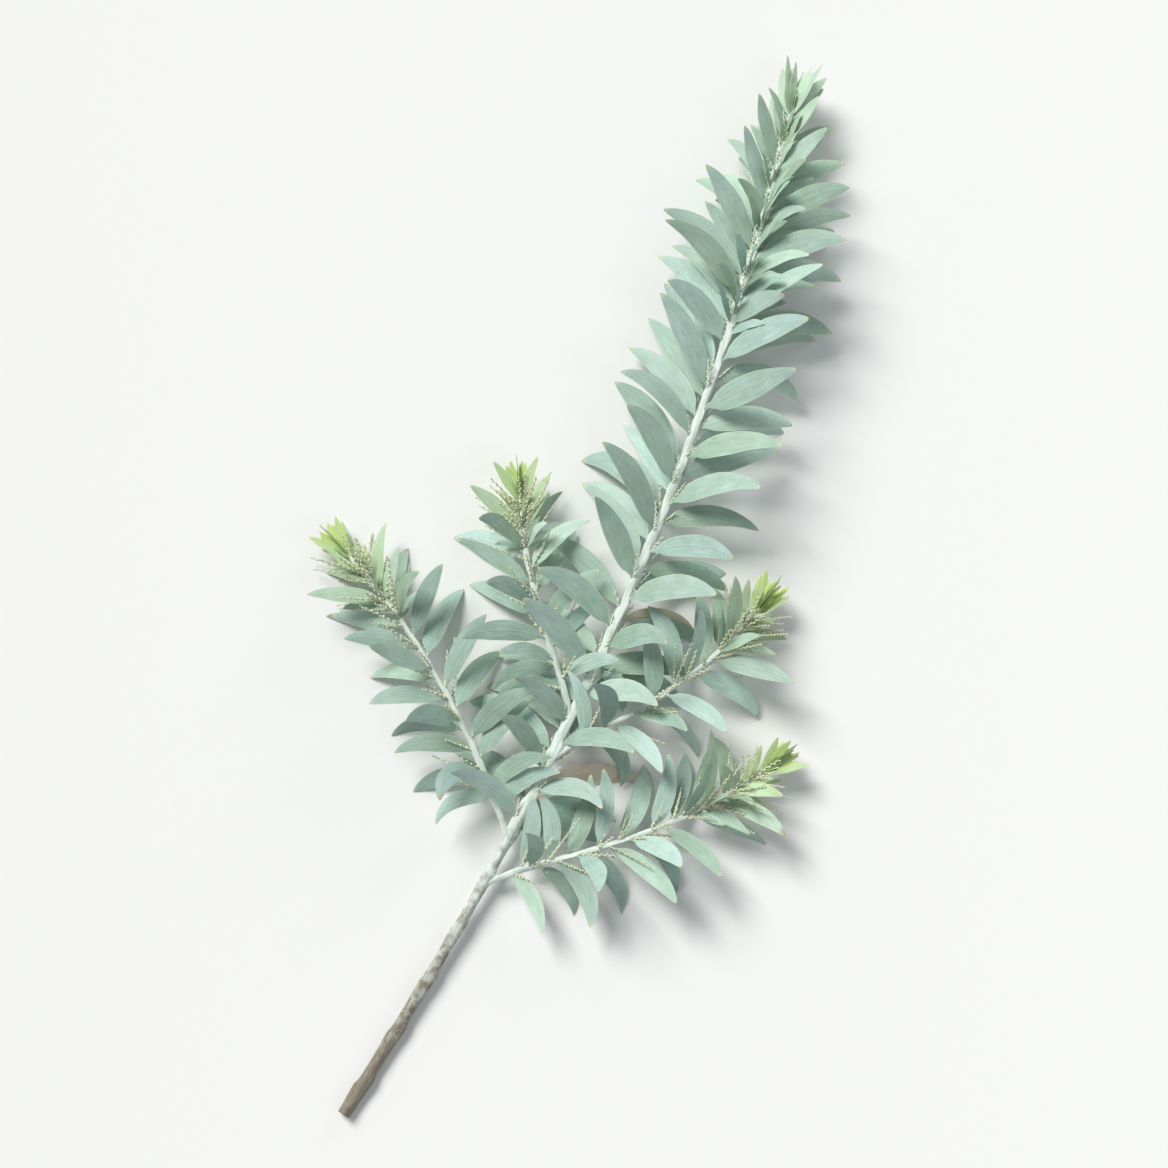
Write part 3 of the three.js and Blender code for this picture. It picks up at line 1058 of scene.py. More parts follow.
SILVER_LEAF = LeafFinish("silver_leaf")
YOUNG_LEAF = replace(
    SILVER_LEAF, name="young_leaf", bloom=(0.50, 0.66, 0.48), flesh=(0.32, 0.52, 0.20), scorched_tips=0.0
)
PALE_YOUNG_LEAF = replace(
    YOUNG_LEAF, name="pale_young_leaf", bloom=(0.60, 0.75, 0.70), flesh=(0.36, 0.53, 0.34)
)
BARK = BarkFinish("bark", bump=0.7)
CUT_WOOD = CutWoodFinish("cut_wood", sheen=0.0)
BUD = BudFinish("bud", bump=0.8)
YOUNG_BUD = replace(
    BUD, name="young_bud", pale=(0.80, 0.87, 0.72), stalk=(0.70, 0.80, 0.69), ripe=(0.86, 0.86, 0.52),
    crevice_shade_and_speck=(0.38, 0.43, 0.27), scale=(0.46, 0.35, 0.22),
)
FLOOR_PAPER = FloorFinish("floor_paper")


@dataclass
class LeafMaster:
    """The leaf that every leaf is a copy of: flat, with its root at Y = 0 and its tip at Y = 1.

    Across it, X = 1 is half of its widest. Its Z is in metres. It is thickest along its rib and
    comes to an edge at its margins.
    """

    rows: tuple[float, ...] = (
        0.0, 0.04, 0.08, 0.12, 0.17, 0.24, 0.32, 0.41, 0.5, 0.59, 0.68, 0.76, 0.83, 0.895, 0.95, 0.98,
    )
    rib_rise: float = 0.00036
    stalk_rise: float = 0.00062
    stalk_half: float = 0.085
    stalk_end: float = 0.055
    spread_end: float = 0.2
    bluntness: float = 0.07
    blunt_from: float = 0.8
    spine_reach: float = 0.02
    spine_share: float = 0.22

    def half(self, share: float) -> float:
        """Half of the width at a place along the leaf.

        Args:
            share: How far along it is.

        Returns:
            The half, with the narrow foot and the slightly blunt tip of a real leaf.
        """
        opened = np.interp(share, (self.stalk_end, self.spread_end), (0.0, 1.0))
        foot = opened * opened * (3 - 2 * opened)
        blunt = self.bluntness * np.interp(share, (self.blunt_from, 1.0), (0.0, 1.0))
        return self.stalk_half + (float(leaf_outline(np.array(share))) + blunt - self.stalk_half) * foot

    def model(self) -> Piece:
        """Models the leaf.

        Returns:
            The master, which is deleted once it has been copied.
        """
        steps = len(self.rows) - 1
        leaf = add(
            bpy.ops.mesh.primitive_grid_add, "leaf_master",
            x_subdivisions=2, y_subdivisions=steps, size=1, location=(0, 0.5, 0),
        )
        bpy.ops.object.transform_apply(location=True, rotation=False, scale=False)
        bpy.ops.object.mode_set(mode="EDIT")
        for step in range(steps, -1, -1):
            old, new = step / steps, self.rows[step]
            pick(leaf, Part.CORNERS, lambda v, old=old: abs(v.co.y - old) < NEAR)
            bpy.ops.transform.translate(value=(0, new - old, 0))
            bpy.ops.transform.resize(value=(2 * self.half(new), 1, 1), center_override=(0, new, 0))
        self.round_out(leaf)
        self.draw_spine(leaf)
        bpy.ops.object.mode_set(mode="OBJECT")
        return leaf

    def round_out(self, leaf: Piece) -> None:
        """Lifts the rib and gives the leaf its other face, joined to the first at its margins.

        Args:
            leaf: The flat leaf, in edit mode.
        """
        pick(leaf, Part.CORNERS, lambda v: abs(v.co.x) < NEAR)
        bpy.ops.transform.translate(value=(0, 0, self.rib_rise))
        pick(leaf, Part.CORNERS, lambda v: abs(v.co.x) < NEAR and v.co.y < self.stalk_end)
        bpy.ops.transform.translate(value=(0, 0, self.stalk_rise - self.rib_rise))
        bpy.ops.mesh.select_all(action="SELECT")
        bpy.ops.mesh.duplicate()
        bpy.ops.transform.resize(value=(1, 1, -1), center_override=(0, 0, 0))
        bpy.ops.mesh.select_all(action="SELECT")
        bpy.ops.mesh.remove_doubles(threshold=NEAR / 10)
        bpy.ops.mesh.fill_holes(sides=4)
        bpy.ops.mesh.select_all(action="SELECT")
        bpy.ops.mesh.normals_make_consistent(inside=False)

    def draw_spine(self, leaf: Piece) -> None:
        """Draws the blunt end out into the small point that ends the rib.

        Args:
            leaf: The leaf, in edit mode.
        """
        top = self.rows[-1]
        slim = (self.spine_share, 1, self.spine_share)
        pick(leaf, Part.FACES, lambda v: v.co.y > top - NEAR)
        bpy.ops.mesh.extrude_region_move(TRANSFORM_OT_translate={"value": (0, self.spine_reach, 0)})
        bpy.ops.transform.resize(value=slim, center_override=(0, top + self.spine_reach, 0))


@dataclass
class Foliage:
    """The leaves of one twig or growing tip."""

    name: str
    node: str
    twig: Twig
    growth: Growth
    master: Piece
    seed: int
    freshness: float
    dry_seats: tuple[float, ...] = ()
    right_hand: float = 0.3
    dense_from: float = 0.8
    fills: tuple[Span, ...] = ((1.26, 0.6), (-1.0, 0.42), (2.5, 0.7))
    clearance: float = 0.005
    cup: float = 0.0006
    cups: Span = (-0.4, 1.0)
    ripple: float = 0.0005
    ripples: Span = (0.2, 1.0)
    beats: Span = (1.2, 2.6)
    lags: Span = (0.3, 1.0)
    flat_foot: float = 0.1
    flat_tip: float = 1.02
    opening: float = 0.3
    edge_power: float = 1.5
    greening: float = 0.45
    greening_from: float = 0.72
    greening_power: float = 1.5
    green_strays: Span = (0.0, 0.1)
    young_green: float = 0.35
    young_gain: float = 0.4
    young_strays: Span = (-0.12, 0.12)
    shades: Span = (0.84, 1.16)
    dryness: Span = (0.7, 0.95)
    smooth_deg: float = 60.0
    blades: list[Blade] = field(default_factory=list)

    def find(self) -> None:
        """Finds the leaves on the frame, and puts them in their order up the twig."""
        found = NodeMesh.read(self.node).leaves()
        self.blades = sorted((Blade.grow(*leaf, self.twig) for leaf in found), key=lambda blade: blade.seat)
        log.info("%s: %d leaves found on %s", self.name, len(self.blades), self.node)

    def fill_in(self) -> None:
        """Adds smaller leaves between the last ones, but for any that would reach the floor."""
        last = [blade for blade in self.blades if blade.seat >= self.dense_from]
        for turn, size in self.fills:
            added = [blade.inner(self.twig, turn, size) for blade in last]
            self.blades += [blade for blade in added if blade.centres[:, 2].min() > self.clearance]

    def dried(self) -> set[int]:
        """The numbers of the leaves that have dried: the right-hand ones nearest to the dry seats."""
        right = [k for k, blade in enumerate(self.blades) if math.sin(blade.side) > self.right_hand]
        return {min(right, key=lambda k: abs(self.blades[k].seat - seat)) for seat in self.dry_seats}

    def build(self, finish: Finish, slot: Slot) -> None:
        """Copies the master leaf along every blade, and makes one piece of them.

        Args:
            finish: The leaves' finish.
            slot: The record's slot.
        """
        draw = np.random.default_rng(self.seed)
        flat = corners_of(self.master)
        across = np.where(np.abs(flat[:, 0]) < NEAR, 0.0, np.sign(flat[:, 0]))
        dried = self.dried()
        first, last = self.blades[0].seat, self.blades[-1].seat
        parts = []
        for number, blade in enumerate(self.blades):
            leaf = copy_of(self.master)
            put_corners(leaf, self.shape(blade, flat, across, draw))
            own = np.full(len(flat), float(number))
            put_attribute(leaf, "leaf_place", np.stack([flat[:, 1], across, own], axis=1))
            tint = self.tint((blade.seat - first) / (last - first), number in dried, draw)
            put_attribute(leaf, "leaf_tint", np.tile(tint, (len(flat), 1)))
            parts.append(leaf)
        settle(join(parts, self.name, self.smooth_deg, finish.material()), slot, self.node)

    def shape(self, blade: Blade, flat: Array, across: Array, draw: Random) -> Array:
        """Bends the flat leaf along a blade, a little cupped and rippled at its edges.

        Args:
            blade: The blade.
            flat: The flat leaf's corners.
            across: For each corner, 0 on the rib, 1 on the right margin and -1 on the left one.
            draw: The random draws.

        Returns:
            The bent leaf's corners.
        """
        cup = draw.uniform(*self.cups) * self.cup
        ripple = draw.uniform(*self.ripples) * self.ripple
        beats, start, lag = (draw.uniform(*span) for span in (self.beats, (0, math.tau), self.lags))
        share = flat[:, 1]
        foot = np.clip((share - self.flat_foot) / self.opening, 0, 1)
        tip = np.clip((self.flat_tip - share) / self.opening, 0, 1)
        wave = np.sin(math.tau * beats * share + start + lag * np.sign(across))
        lift = cup * across**2 + ripple * wave * np.abs(across) ** self.edge_power
        return blade.place(share, flat[:, 0], flat[:, 2] + foot * tip * lift)

    def tint(self, age: float, dry: bool, draw: Random) -> Array:
        """How young, how bright and how dry a leaf is.

        Args:
            age: From the lowest leaf of the twig at 0 to the highest at 1.
            dry: Whether it has dried.
            draw: The random draws.

        Returns:
            The three numbers.
        """
        young = max(0.0, (age - self.greening_from) / (1 - self.greening_from))
        youth = self.greening * self.freshness * young**self.greening_power + draw.uniform(*self.green_strays)
        if self.growth is Growth.YOUNG:
            stray = draw.uniform(*self.young_strays)
            youth = self.freshness * (self.young_green + self.young_gain * age + stray)
        shade = draw.uniform(*self.shades)
        return np.array([youth, shade, draw.uniform(*self.dryness) if dry else 0.0])


def rod(sides: int, cuts: Sequence[int]) -> Piece:
    """Models a closed round rod of radius 1 from Y = 0 to Y = 1, cut into rows.

    Args:
        sides: How many sides it has.
        cuts: How often each row is cut, time after time.

    Returns:
        The rod.
    """
    made = add(
        bpy.ops.mesh.primitive_cylinder_add, "rod",
        vertices=sides, radius=1, depth=1, location=(0, 0.5, 0), rotation=(math.radians(-90), 0, 0),
    )
    bpy.ops.object.transform_apply(location=True, rotation=True, scale=False)
    for count in cuts:
        bpy.ops.object.mode_set(mode="EDIT")
        bpy.ops.mesh.select_mode(type="EDGE")
        bpy.ops.mesh.select_all(action="DESELECT")
        net = bmesh.from_edit_mesh(made.data)
        for edge in net.edges:
            edge.select_set(abs(edge.verts[0].co.y - edge.verts[1].co.y) > NEAR)
        bmesh.update_edit_mesh(made.data)
        bpy.ops.mesh.subdivide(number_cuts=count)
        bpy.ops.object.mode_set(mode="OBJECT")
    return made


def hump(along: Array, across: Array) -> Array:
    """A smooth round hump, which is 1 at its middle and next to nothing two steps away."""
    return np.exp(-(along**2) - across**2)


@dataclass
class Wood:
    """The wood of one twig, with a cushion under every leaf and scars where leaves have fallen."""

    name: str
    node: str
    twig: Twig
    sides: int
    cuts: tuple[int, ...]
    seats: list[Seat]
    scars: list[Seat] = field(default_factory=list)
    age_at_root: float = 0.0
    age_ends: float = 0.3
    slot: Slot = Slot.LEAFY
    slimness: float = 0.96
    cushion: float = 0.6
    cushion_length: float = 0.003
    cushion_width: float = 0.5
    ridge_reach: float = 4.5
    scar_size: float = 0.5
    scar_sharpness: Span = (2.6, 1.6)
    axil_above: float = 1.6
    axil_length: float = 1.4
    axil_narrowness: float = 1.3
    angles: int = 5
    angle_depth: float = 0.05
    turns: float = 3.0
    bark_share: float = 0.12
    wood_share: float = 0.62
    pith_depth: float = 0.0004
    smooth_deg: float = 50.0

    def build(self, bark: Finish, cut_wood: Finish | None = None) -> None:
        """Models the wood as a piece.

        Args:
            bark: The bark's finish.
            cut_wood: The sawn end's, if the twig has one.
        """
        made = rod(self.sides, self.cuts)
        if cut_wood:
            self.cut(made)
        flat = corners_of(made)
        share = np.clip(flat[:, 1], 0, 1)
        angle = np.arctan2(flat[:, 0], flat[:, 2])
        bumps, scars, axils = self.bumps(share, angle)
        ribs = 1 + self.angle_depth * np.cos(self.angles * angle + math.tau * self.turns * share)
        reach = np.hypot(flat[:, 0], flat[:, 2]) * (self.twig.radius(share) * self.slimness * ribs + bumps)
        along, right, up = self.twig.axes(share)
        outward = right * np.sin(angle)[:, None] + up * np.cos(angle)[:, None]
        past_end = (flat[:, 1] - share)[:, None] * self.twig.length * along
        put_corners(made, self.twig.point(share) + past_end + outward * reach[:, None])
        place = (np.sin(angle) * reach, np.cos(angle) * reach, share * self.twig.length)
        put_attribute(made, "bark_place", np.stack(place, axis=1))
        age = np.clip(self.age_at_root * (1 - share / self.age_ends), 0, 1)
        put_attribute(made, "bark_marks", np.stack([age, scars, axils], axis=1))
        materials = [finish.material() for finish in (bark, cut_wood) if finish]
        settle(join([made], self.name, self.smooth_deg, *materials), self.slot, self.node)

    def bumps(self, share: Array, angle: Array) -> tuple[Array, Array, Array]:
        """How far the bark stands out at leaf cushions and scars, each with a ridge below it.

        Args:
            share: Where each corner is along the twig.
            angle: Where it is round the twig.

        Returns:
            The height of the bark there, and how far it is a scar and an axil, from 0 to 1.
        """
        height = np.zeros_like(share)
        scars = np.zeros_like(share)
        axils = np.zeros_like(share)
        for seats, is_scar in ((self.seats, False), (self.scars, True)):
            for seat, side in seats:
                below = (seat - share) * self.twig.length / self.cushion_length
                drop = np.where(below > 0, below / self.ridge_reach, below)
                turn = np.angle(np.exp(1j * (angle - side))) / self.cushion_width
                size = self.cushion * self.twig.radius(np.array(seat)) * (self.scar_size if is_scar else 1)
                height += size * hump(drop, turn)
                if is_scar:
                    scars += hump(below * self.scar_sharpness[0], turn * self.scar_sharpness[1])
                else:
                    # The axil mask says where the bark is painted brown and shaded above each leaf's foot
                    above = (below + self.axil_above) / self.axil_length
                    axils = np.maximum(axils, hump(above, turn * self.axil_narrowness))
        return height, np.clip(scars, 0, 1), np.clip(axils, 0, 1)

    def cut(self, made: Piece) -> None:
        """Gives the rod's end its ring of bark, its wood and its sunken pith.

        Args:
            made: The rod.
        """
        bpy.ops.object.mode_set(mode="EDIT")
        pick(made, Part.FACES, lambda v: v.co.y < NEAR)
        bpy.ops.mesh.inset(thickness=self.bark_share)
        net = bmesh.from_edit_mesh(made.data)
        for face in net.faces:
            if face.select:
                face.material_index = 1
        bmesh.update_edit_mesh(made.data)
        bpy.ops.mesh.inset(thickness=self.wood_share)
        bpy.ops.transform.translate(value=(0, self.pith_depth, 0))
        bpy.ops.object.mode_set(mode="OBJECT")


@dataclass(frozen=True)
class Spray:
    """The form of one spray of buds: its stalk's line, and the places and sizes of its buds."""

    line: Array
    heads: Array
    radii: Array
    node: str = ""
    nudge: float = 0.01

    @classmethod
    def find(cls, node: str) -> "Spray":
        """Reads a spray from its node of the frame, which is made of three-cornered rings.

        Args:
            node: The node's name.

        Returns:
            The spray.
        """
        points = NodeMesh.read(node).points
        middle = points.mean(axis=0)
        _, _, axes = np.linalg.svd(points - middle)
        rows = points[np.argsort((points - middle) @ axes[0])].reshape(-1, 3, 3)
        ahead = unit(rows[-1].mean(axis=0) - rows[0].mean(axis=0))
        rows = points[np.argsort((points - middle) @ ahead)].reshape(-1, 3, 3)
        centres = rows.mean(axis=1)
        radii = np.linalg.norm(rows - centres[:, None], axis=2).mean(axis=1)
        if radii[1] > radii[-2]:
            centres, radii = centres[::-1], radii[::-1]
        steps = np.linspace(0, 1, len(centres))[:, None]
        straight = centres[0] + steps * (centres[-1] - centres[0])
        return cls((centres + straight) / 2, centres[2::2], radii[2::2], node)

    def axes(self) -> tuple[Array, Array, Array]:
        """Finds the spray's own directions, for an upright one too.

        Returns:
            The directions along the spray, to its right and up from it.
        """
        ahead = unit(self.line[-1] - self.line[0])
        right = unit(np.cross(ahead, STRAIGHT_UP + self.nudge))
        return ahead, right, np.cross(right, ahead)


@dataclass
class BudMasters:
    """The few small shapes that every spray is put together from, each of radius 1."""

    segments: int = 7
    rings: int = 5
    dent: float = 0.86
    stalk_sides: int = 5
    stalk_cuts: int = 15
    scale_sides: int = 4
    scale_flatness: float = 0.35
    scale_hook: float = 0.5

    def head(self) -> Piece:
        """Models a bud head: a small knobbly ball.

        Returns:
            The master.
        """
        made = add(
            bpy.ops.mesh.primitive_uv_sphere_add, "bud_master",
            segments=self.segments, ring_count=self.rings, radius=1,
        )
        bpy.ops.object.mode_set(mode="EDIT")
        pick(made, Part.CORNERS, lambda v: v.index % 2 == 1)
        bpy.ops.transform.resize(value=(self.dent,) * 3, center_override=(0, 0, 0))
        bpy.ops.object.mode_set(mode="OBJECT")
        return made

    def stalk(self) -> Piece:
        """Models a stalk: a thin rod."""
        return rod(self.stalk_sides, (self.stalk_cuts,))

    def scale(self) -> Piece:
        """Models a bud scale: a flat little cone with a hooked tip.

        Returns:
            The master.
        """
        made = add(
            bpy.ops.mesh.primitive_cone_add, "scale_master",
            vertices=self.scale_sides, radius1=1, radius2=0, depth=2,
        )
        bpy.ops.object.mode_set(mode="EDIT")
        bpy.ops.mesh.select_all(action="SELECT")
        bpy.ops.transform.resize(value=(1, self.scale_flatness, 1))
        pick(made, Part.CORNERS, lambda v: v.co.z > 1 - NEAR)
        bpy.ops.transform.translate(value=(0, self.scale_hook, 0))
        bpy.ops.object.mode_set(mode="OBJECT")
        return made


@dataclass(frozen=True)
class SprayHabit:
    """How a twig's sprays grow and ripen. Past a share of the twig, each axil has a second one."""

    buds: tuple[int, int] = (5, 13)
    pitch: float = 0.0018
    lean: float = 0.42
    ripeness: float = 0.1
    scale_brown: float = 0.25
    doubled_from: float = 1.0
    doubled_turn: float = 0.9


@dataclass
class BudSprays:
    """All the sprays of buds on one twig, and the small buds in its axils."""

    name: str
    twig: Twig
    sprays: list[Spray]
    axils: list[Seat]
    habit: SprayHabit
    head: Piece
    stalk: Piece
    scale: Piece
    seed: int
    stalk_radii: Span = (0.00045, 0.00026)
    sizes: tuple[float, ...] = (0.9, 0.62, 0.52)
    drifts: tuple[float, ...] = (0.0, 0.9, -0.7)
    off: float = 0.95
    size_strays: Span = (0.8, 1.15)
    turn_strays: Span = (1.8, 2.8)
    ripening: float = 0.5
    ripe_strays: Span = (-0.2, 0.3)
    scale_share: float = 0.55
    scale_green: float = 0.4
    side_strays: Span = (-0.5, 0.5)
    lean_strays: Span = (0.6, 1.4)
    foot_depth: float = 0.8
    curl: float = 0.25
    young_radii: Span = (0.58, 0.38)
    young_off: float = 0.32
    smooth_deg: float = 70.0

    def build(self, finish: Finish) -> None:
        """Copies the stalk, bud head and scale along every spray, and makes one piece of them.

        Args:
            finish: The buds' finish.
        """
        draw = np.random.default_rng(self.seed)
        parts = []
        for spray in (*self.sprays, *(self.sprout(seat, side, draw) for seat, side in self.axils)):
            parts.append(self.stalk_of(spray))
            for number in range(len(spray.heads)):
                parts += self.cluster(spray, number, draw)
        made = join(parts, self.name, self.smooth_deg, finish.material())
        settle(made, Slot.BUDS, *(spray.node for spray in self.sprays))

    def stalk_of(self, spray: Spray) -> Piece:
        """Makes a spray's stalk.

        Args:
            spray: The spray.

        Returns:
            The stalk.
        """
        made = copy_of(self.stalk)
        flat = corners_of(made)
        share = np.clip(flat[:, 1], 0, 1)
        steps = np.linspace(0, 1, len(spray.line))
        centre = np.stack([np.interp(share, steps, column) for column in spray.line.T], axis=1)
        _, right, up = spray.axes()
        radius = np.interp(share, (0, 1), self.stalk_radii)[:, None]
        put_corners(made, centre + (flat[:, :1] * right + flat[:, 2:] * up) * radius)
        put_attribute(made, "bud_tint", np.zeros((len(flat), 3)))
        return made

    def cluster(self, spray: Spray, number: int, draw: Random) -> list[Piece]:
        """Makes the buds at one place of a spray: a large one, smaller ones beside it, and a scale.

        Args:
            spray: The spray.
            number: Which place it is, counted from the foot.
            draw: The random draws.

        Returns:
            The buds and the scale.
        """
        ahead, right, up = spray.axes()
        middle, radius = spray.heads[number], spray.radii[number]
        ripeness = self.habit.ripeness + self.ripening * number / len(spray.heads)
        round_stalk = draw.uniform(0, math.tau)
        made = []
        heads = len(self.sizes) if spray.node else 1
        for share, drift in list(zip(self.sizes, self.drifts, strict=True))[:heads]:
            outward = right * math.cos(round_stalk) + up * math.sin(round_stalk)
            place = middle + radius * drift * ahead + (radius * self.off * outward if drift else 0)
            tint = (1.0, ripeness + draw.uniform(*self.ripe_strays), 0.0)
            size = share * radius * draw.uniform(*self.size_strays)
            made.append(self.put(self.head, place, size, None, tint, draw))
            round_stalk += draw.uniform(*self.turn_strays)
        tint = (self.scale_green, 0.0, self.habit.scale_brown)
        size = self.scale_share * radius
        made.append(self.put(self.scale, middle - radius * ahead, size, ahead, tint, draw))
        return made

    def sprout(self, seat: float, side: float, draw: Random) -> Spray:
        """Grows the short young spray in the axil of a leaf, with its buds on both sides in turn.

        Args:
            seat: Where the leaf grows on the twig.
            side: On which side.
            draw: The random draws.

        Returns:
            The spray, which lies on the floor where it meets it.
        """
        pitch = self.habit.pitch
        along, right, up = self.twig.axes(np.array(seat))
        side += draw.uniform(*self.side_strays)
        outward = right * math.sin(side) + up * math.cos(side)
        depth = self.foot_depth * float(self.twig.radius(np.array(seat)))
        foot = self.twig.beside(seat, side, depth) + along * pitch
        ahead = unit(along + outward * self.habit.lean * draw.uniform(*self.lean_strays))
        aside = np.cross(ahead, outward)
        buds = int(draw.integers(*self.habit.buds))
        curl = draw.uniform(-self.curl, self.curl)
        radii = pitch * np.linspace(*self.young_radii, buds)
        steps = np.arange(buds + 1)[:, None]
        line = foot + ahead * pitch * steps + aside * curl * pitch * steps**2 / buds
        heads = line[1:] + aside * pitch * self.young_off * (-1.0) ** steps[1:]
        for points in (line, heads):
            points[:, 2] = np.maximum(points[:, 2], radii[0])
        return Spray(line, heads, radii)

    def put(
        self, master: Piece, place: Array, size: float, ahead: Array | None, tint: Colour, draw: Random
    ) -> Piece:
        """Puts a copy of a small shape in its place.

        Args:
            master: The shape.
            place: Where its middle goes.
            size: Its radius.
            ahead: Where its top points, as long as it is drawn out, or None for any way at all.
            tint: What its finish reads.
            draw: The random draws.

        Returns:
            The copy.
        """
        made = copy_of(master)
        flat = corners_of(made)
        way = draw.normal(size=3) if ahead is None else ahead
        top = Vector(unit(way)).to_track_quat("Z", "Y") @ Quaternion((0, 0, 1), draw.uniform(0, math.tau))
        long = 1.0 if ahead is None else np.linalg.norm(ahead)
        put_corners(made, place + size * (flat * (1, 1, long)) @ np.array(top.to_matrix()).T)
        put_attribute(made, "bud_tint", np.tile(tint, (len(flat), 1)))
        return made


@dataclass(frozen=True)
class Lamp:
    """A soft light: a square one of a size in metres, or a far one as broad as some degrees of sky."""

    kind: LampKind
    name: str
    place: Place
    aim: Place
    breadth: float
    power: float
    tint: Colour

    def build(self) -> None:
        """Adds the light."""
        lamp = add(bpy.ops.object.light_add, self.name, type=self.kind.value, location=self.place)
        lamp.rotation_euler = (Vector(self.aim) - Vector(self.place)).to_track_quat("-Z", "Y").to_euler()
        lamp.data.energy = self.power
        lamp.data.color = self.tint
        if self.kind is LampKind.SQUARE:
            lamp.data.size = self.breadth
        else:
            lamp.data.angle = math.radians(self.breadth)


STEM_MIDDLE = (0.0, 0.0, 0.03)

# The first is the main light: a broad, far one from the upper left, so that the floor is even
LAMPS = (
    Lamp(
        LampKind.FAR, "key_light", place=(-3.0, 1.8, 3.4), aim=(0.0, 0.0, 0.0),
        breadth=26.0, power=3.2, tint=(1.0, 0.985, 0.95),
    ),
    Lamp(
        LampKind.SQUARE, "fill_light", place=(2.5, -1.0, 2.6), aim=STEM_MIDDLE,
        breadth=2.4, power=16.0, tint=(0.92, 0.96, 1.0),
    ),
    Lamp(
        LampKind.SQUARE, "rim_light", place=(0.9, 3.2, 1.4), aim=STEM_MIDDLE,
        breadth=1.4, power=14.0, tint=(1.0, 1.0, 0.97),
    ),
)


@dataclass
class Studio:
    """The floor, the lights and the camera, which looks down on the stem."""

    elevation_deg: float = 84.0
    roll_deg: float = 20.0
    lens: float = 85.0
    distance: float = 1.88
    clip_start: float = 0.01
    aim: Place = STEM_MIDDLE
    floor_size: float = 30.0
    lamps: tuple[Lamp, ...] = LAMPS
    room_light: float = 0.27
    room_tint: Colour = (0.95, 0.98, 1.0)
    backdrop: float = 1.0

    def build(self) -> None:
        """Sets up the studio."""
        floor = add(bpy.ops.mesh.primitive_plane_add, "floor", size=self.floor_size)
        floor.data.materials.append(FLOOR_PAPER.material())
        for lamp in self.lamps:
            lamp.build()
        self.sky()
        self.camera()

    def sky(self) -> None:
        """Fills the room with soft light, and shows it white behind the floor."""
        world = bpy.data.worlds.new("room")
        bpy.context.scene.world = world
        world.use_nodes = True
        sheet = Sheet(world.node_tree)
        soft = world.node_tree.nodes["Background"]
        sheet.feed(soft.inputs["Color"], self.room_tint)
        sheet.feed(soft.inputs["Strength"], self.room_light)
        white = sheet.add("Background", {"Color": (1.0, 1.0, 1.0), "Strength": self.backdrop})
        seen = sheet.add("LightPath").outputs["Is Camera Ray"]
        both = sheet.add("MixShader", {0: seen, 1: soft.outputs[0], 2: white.outputs[0]})
        sheet.feed(world.node_tree.nodes["World Output"].inputs["Surface"], both.outputs[0])

    def camera(self) -> None:
        """Places the camera so that the stem leans to the right, as it does in the photograph."""
        tilt = math.radians(self.elevation_deg)
        back = Vector((0, -math.cos(tilt), math.sin(tilt)))
        place = Vector(self.aim) + back * self.distance
        camera = add(bpy.ops.object.camera_add, "camera", location=place)
        camera.rotation_mode = "QUATERNION"
        level = (-back).to_track_quat("-Z", "Y")
        camera.rotation_quaternion = level @ Quaternion((0, 0, 1), math.radians(self.roll_deg))
        camera.data.lens = self.lens
        camera.data.clip_start = self.clip_start
        bpy.context.scene.camera = camera
        bpy.context.scene.view_settings.view_transform = "Standard"


@dataclass(frozen=True)
class Habit:
    """How a twig grows and ages, and how large and how fresh its growing tip is."""

    root_radius: float
    end_radius: float
    wood_sides: int
    wood_cuts: tuple[int, int]
    age_at_root: float
    age_ends: float
    tip_size: float
    freshness: float
    young_leaf: Finish
    bud: Finish
    sprays: SprayHabit
    taper: float = 1.0
    collar: float = 1.0
    bare_foot: float = 0.0
    cut_wood: Finish | None = None
    dry_seats: tuple[float, ...] = ()

    def twig(self, name: str, corners: Array) -> Twig:
        """A twig of this habit along a middle line."""
        return Twig(name, corners, self.root_radius, self.end_radius, self.taper, self.collar)


STEM_HABIT = Habit(
    root_radius=0.0045, end_radius=0.0013, taper=0.85, wood_sides=24, wood_cuts=(19, 27),
    age_at_root=1.1, age_ends=0.42, bare_foot=0.3, cut_wood=CUT_WOOD, dry_seats=(0.53, 0.36),
    tip_size=1.0, freshness=0.3, young_leaf=PALE_YOUNG_LEAF, bud=YOUNG_BUD, sprays=SprayHabit(),
)
SHOOT_HABIT = Habit(
    root_radius=0.0019, end_radius=0.0009, collar=1.45, wood_sides=14, wood_cuts=(9, 13),
    age_at_root=0.3, age_ends=0.6, tip_size=0.78, freshness=1.0, young_leaf=YOUNG_LEAF, bud=BUD,
    sprays=SprayHabit((6, 18), pitch=0.0022, lean=1.15, ripeness=0.5, scale_brown=0.45, doubled_from=0.45),
)


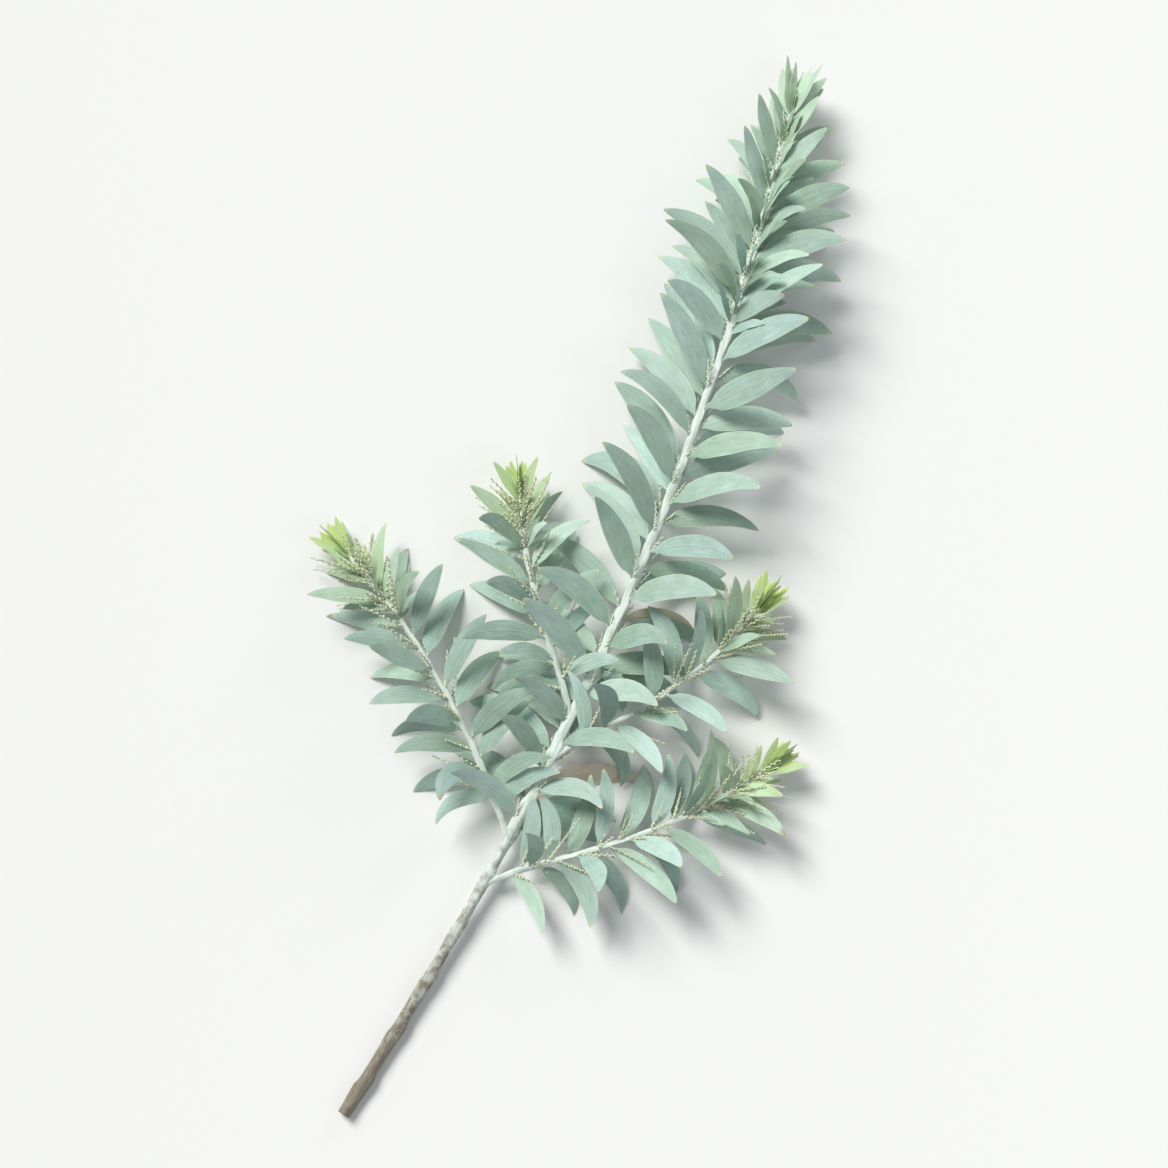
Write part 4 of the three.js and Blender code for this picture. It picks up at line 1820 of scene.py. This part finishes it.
@dataclass
class AcaciaStem:
    """The whole stem: its twigs with their leaves, growing tips and sprays of buds."""

    first_scar: float = 0.6
    scar_pitch: float = 0.0085
    spiral: float = math.radians(144)
    core_reach: float = 0.015
    core_sides: int = 8
    core_cuts: tuple[int, ...] = (11,)
    inner_rings: tuple[Span, ...] = ((1.3, 0.82), (2.5, 0.66), (0.6, 0.5), (3.4, 0.4))
    young_ripple: float = 0.0003
    young_clearance: float = 0.0035
    leaf_seed: int = 100
    young_leaf_seed: int = 200
    spray_seed: int = 300

    def twigs(self) -> list[tuple[Twig, Habit]]:
        """Lays out the stem and its side shoots.

        Returns:
            The stem, then the shoots from the lowest up, each with its habit.
        """
        stem = STEM_HABIT.twig("main_stem", np.array(STEM_ROUTE))
        laid = [(stem, STEM_HABIT)]
        for number, (start, route) in enumerate(SHOOT_ROUTES, 1):
            root = stem.point(start)
            corners = np.array([root, *(root + np.array(corner) for corner in route)])
            laid.append((SHOOT_HABIT.twig(f"side_shoot_{number}", corners), SHOOT_HABIT))
        return laid

    def sprays(self, twigs: Sequence[Twig]) -> dict[str, list[Spray]]:
        """Finds the frame's sprays. Each grows from the twig that is the nearest to its foot.

        Args:
            twigs: The twigs.

        Returns:
            Each twig's sprays, by the twig's name.
        """
        owned: dict[str, list[Spray]] = {twig.name: [] for twig in twigs}
        for node in sorted(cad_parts):
            if node.startswith("bud_raceme"):
                spray = Spray.find(node)
                foot = spray.line[0]
                gaps = {twig.name: np.linalg.norm(twig.point(twig.nearest(foot)) - foot) for twig in twigs}
                owned[min(gaps, key=gaps.get)].append(spray)
        return owned

    def build(self) -> None:
        """Builds every piece of the stem and dresses it."""
        leaf_master = LeafMaster().model()
        shapes = BudMasters()
        bud_masters = (shapes.head(), shapes.stalk(), shapes.scale())
        twigs = self.twigs()
        sprays = self.sprays([twig for twig, _ in twigs])
        for number, (twig, habit) in enumerate(twigs):
            seats = self.leafy_wood(twig, habit, number, leaf_master)
            self.growing_tip(twig, habit, number, leaf_master)
            turn = habit.sprays.doubled_turn
            seats += [(seat, side + turn) for seat, side in seats if seat > habit.sprays.doubled_from]
            BudSprays(
                f"{twig.name}_bud_sprays", twig, sprays[twig.name], seats, habit.sprays, *bud_masters,
                self.spray_seed + number,
            ).build(habit.bud)
        for master in (leaf_master, *bud_masters):
            bpy.data.objects.remove(master)

    def leafy_wood(self, twig: Twig, habit: Habit, number: int, master: Piece) -> list[Seat]:
        """Builds a twig's grown leaves and its wood, with scars where leaves have fallen from its foot.

        Args:
            twig: The twig.
            habit: How it grows.
            number: Its number, 0 being the stem.
            master: The master leaf.

        Returns:
            Where the leaves are seated.
        """
        leaves = Foliage(
            f"{twig.name}_leaves", twig.name, twig, Growth.MATURE, master, self.leaf_seed + number,
            habit.freshness, habit.dry_seats,
        )
        leaves.find()
        leaves.fill_in()
        leaves.build(SILVER_LEAF, Slot.LEAFY)
        seats = [(blade.seat, blade.side) for blade in leaves.blades]
        fallen = range(int(habit.bare_foot * twig.length / self.scar_pitch))
        Wood(
            f"{twig.name}_wood", twig.name, twig, habit.wood_sides, habit.wood_cuts, seats,
            scars=[((k + self.first_scar) * self.scar_pitch / twig.length, k * self.spiral) for k in fallen],
            age_at_root=habit.age_at_root, age_ends=habit.age_ends,
        ).build(BARK, habit.cut_wood)
        return seats

    def growing_tip(self, twig: Twig, habit: Habit, number: int, master: Piece) -> None:
        """Builds the young leaves at the end of a twig, and the soft wood that they stand on.

        Args:
            twig: The twig.
            habit: How it grows.
            number: Its number, 0 being the stem.
            master: The master leaf.
        """
        node = f"shoot_tip_{number}" if number else "main_tip"
        core = twig.core(self.core_reach * habit.tip_size)
        young = Foliage(
            f"{node}_leaves", node, core, Growth.YOUNG, master, self.young_leaf_seed + number,
            habit.freshness, dense_from=0.0, fills=self.inner_rings, ripple=self.young_ripple,
            clearance=self.young_clearance,
        )
        young.find()
        seats = [(blade.seat, blade.side) for blade in young.blades]
        Wood(
            f"{node}_wood", node, core, self.core_sides, self.core_cuts, seats, slot=Slot.YOUNG
        ).build(BARK)
        young.fill_in()
        young.build(habit.young_leaf, Slot.YOUNG)


def main() -> None:
    """Builds the stem and the studio."""
    logging.basicConfig(level=logging.INFO, format="%(message)s")
    AcaciaStem().build()
    Studio().build()


if __name__ == "__main__":
    main()
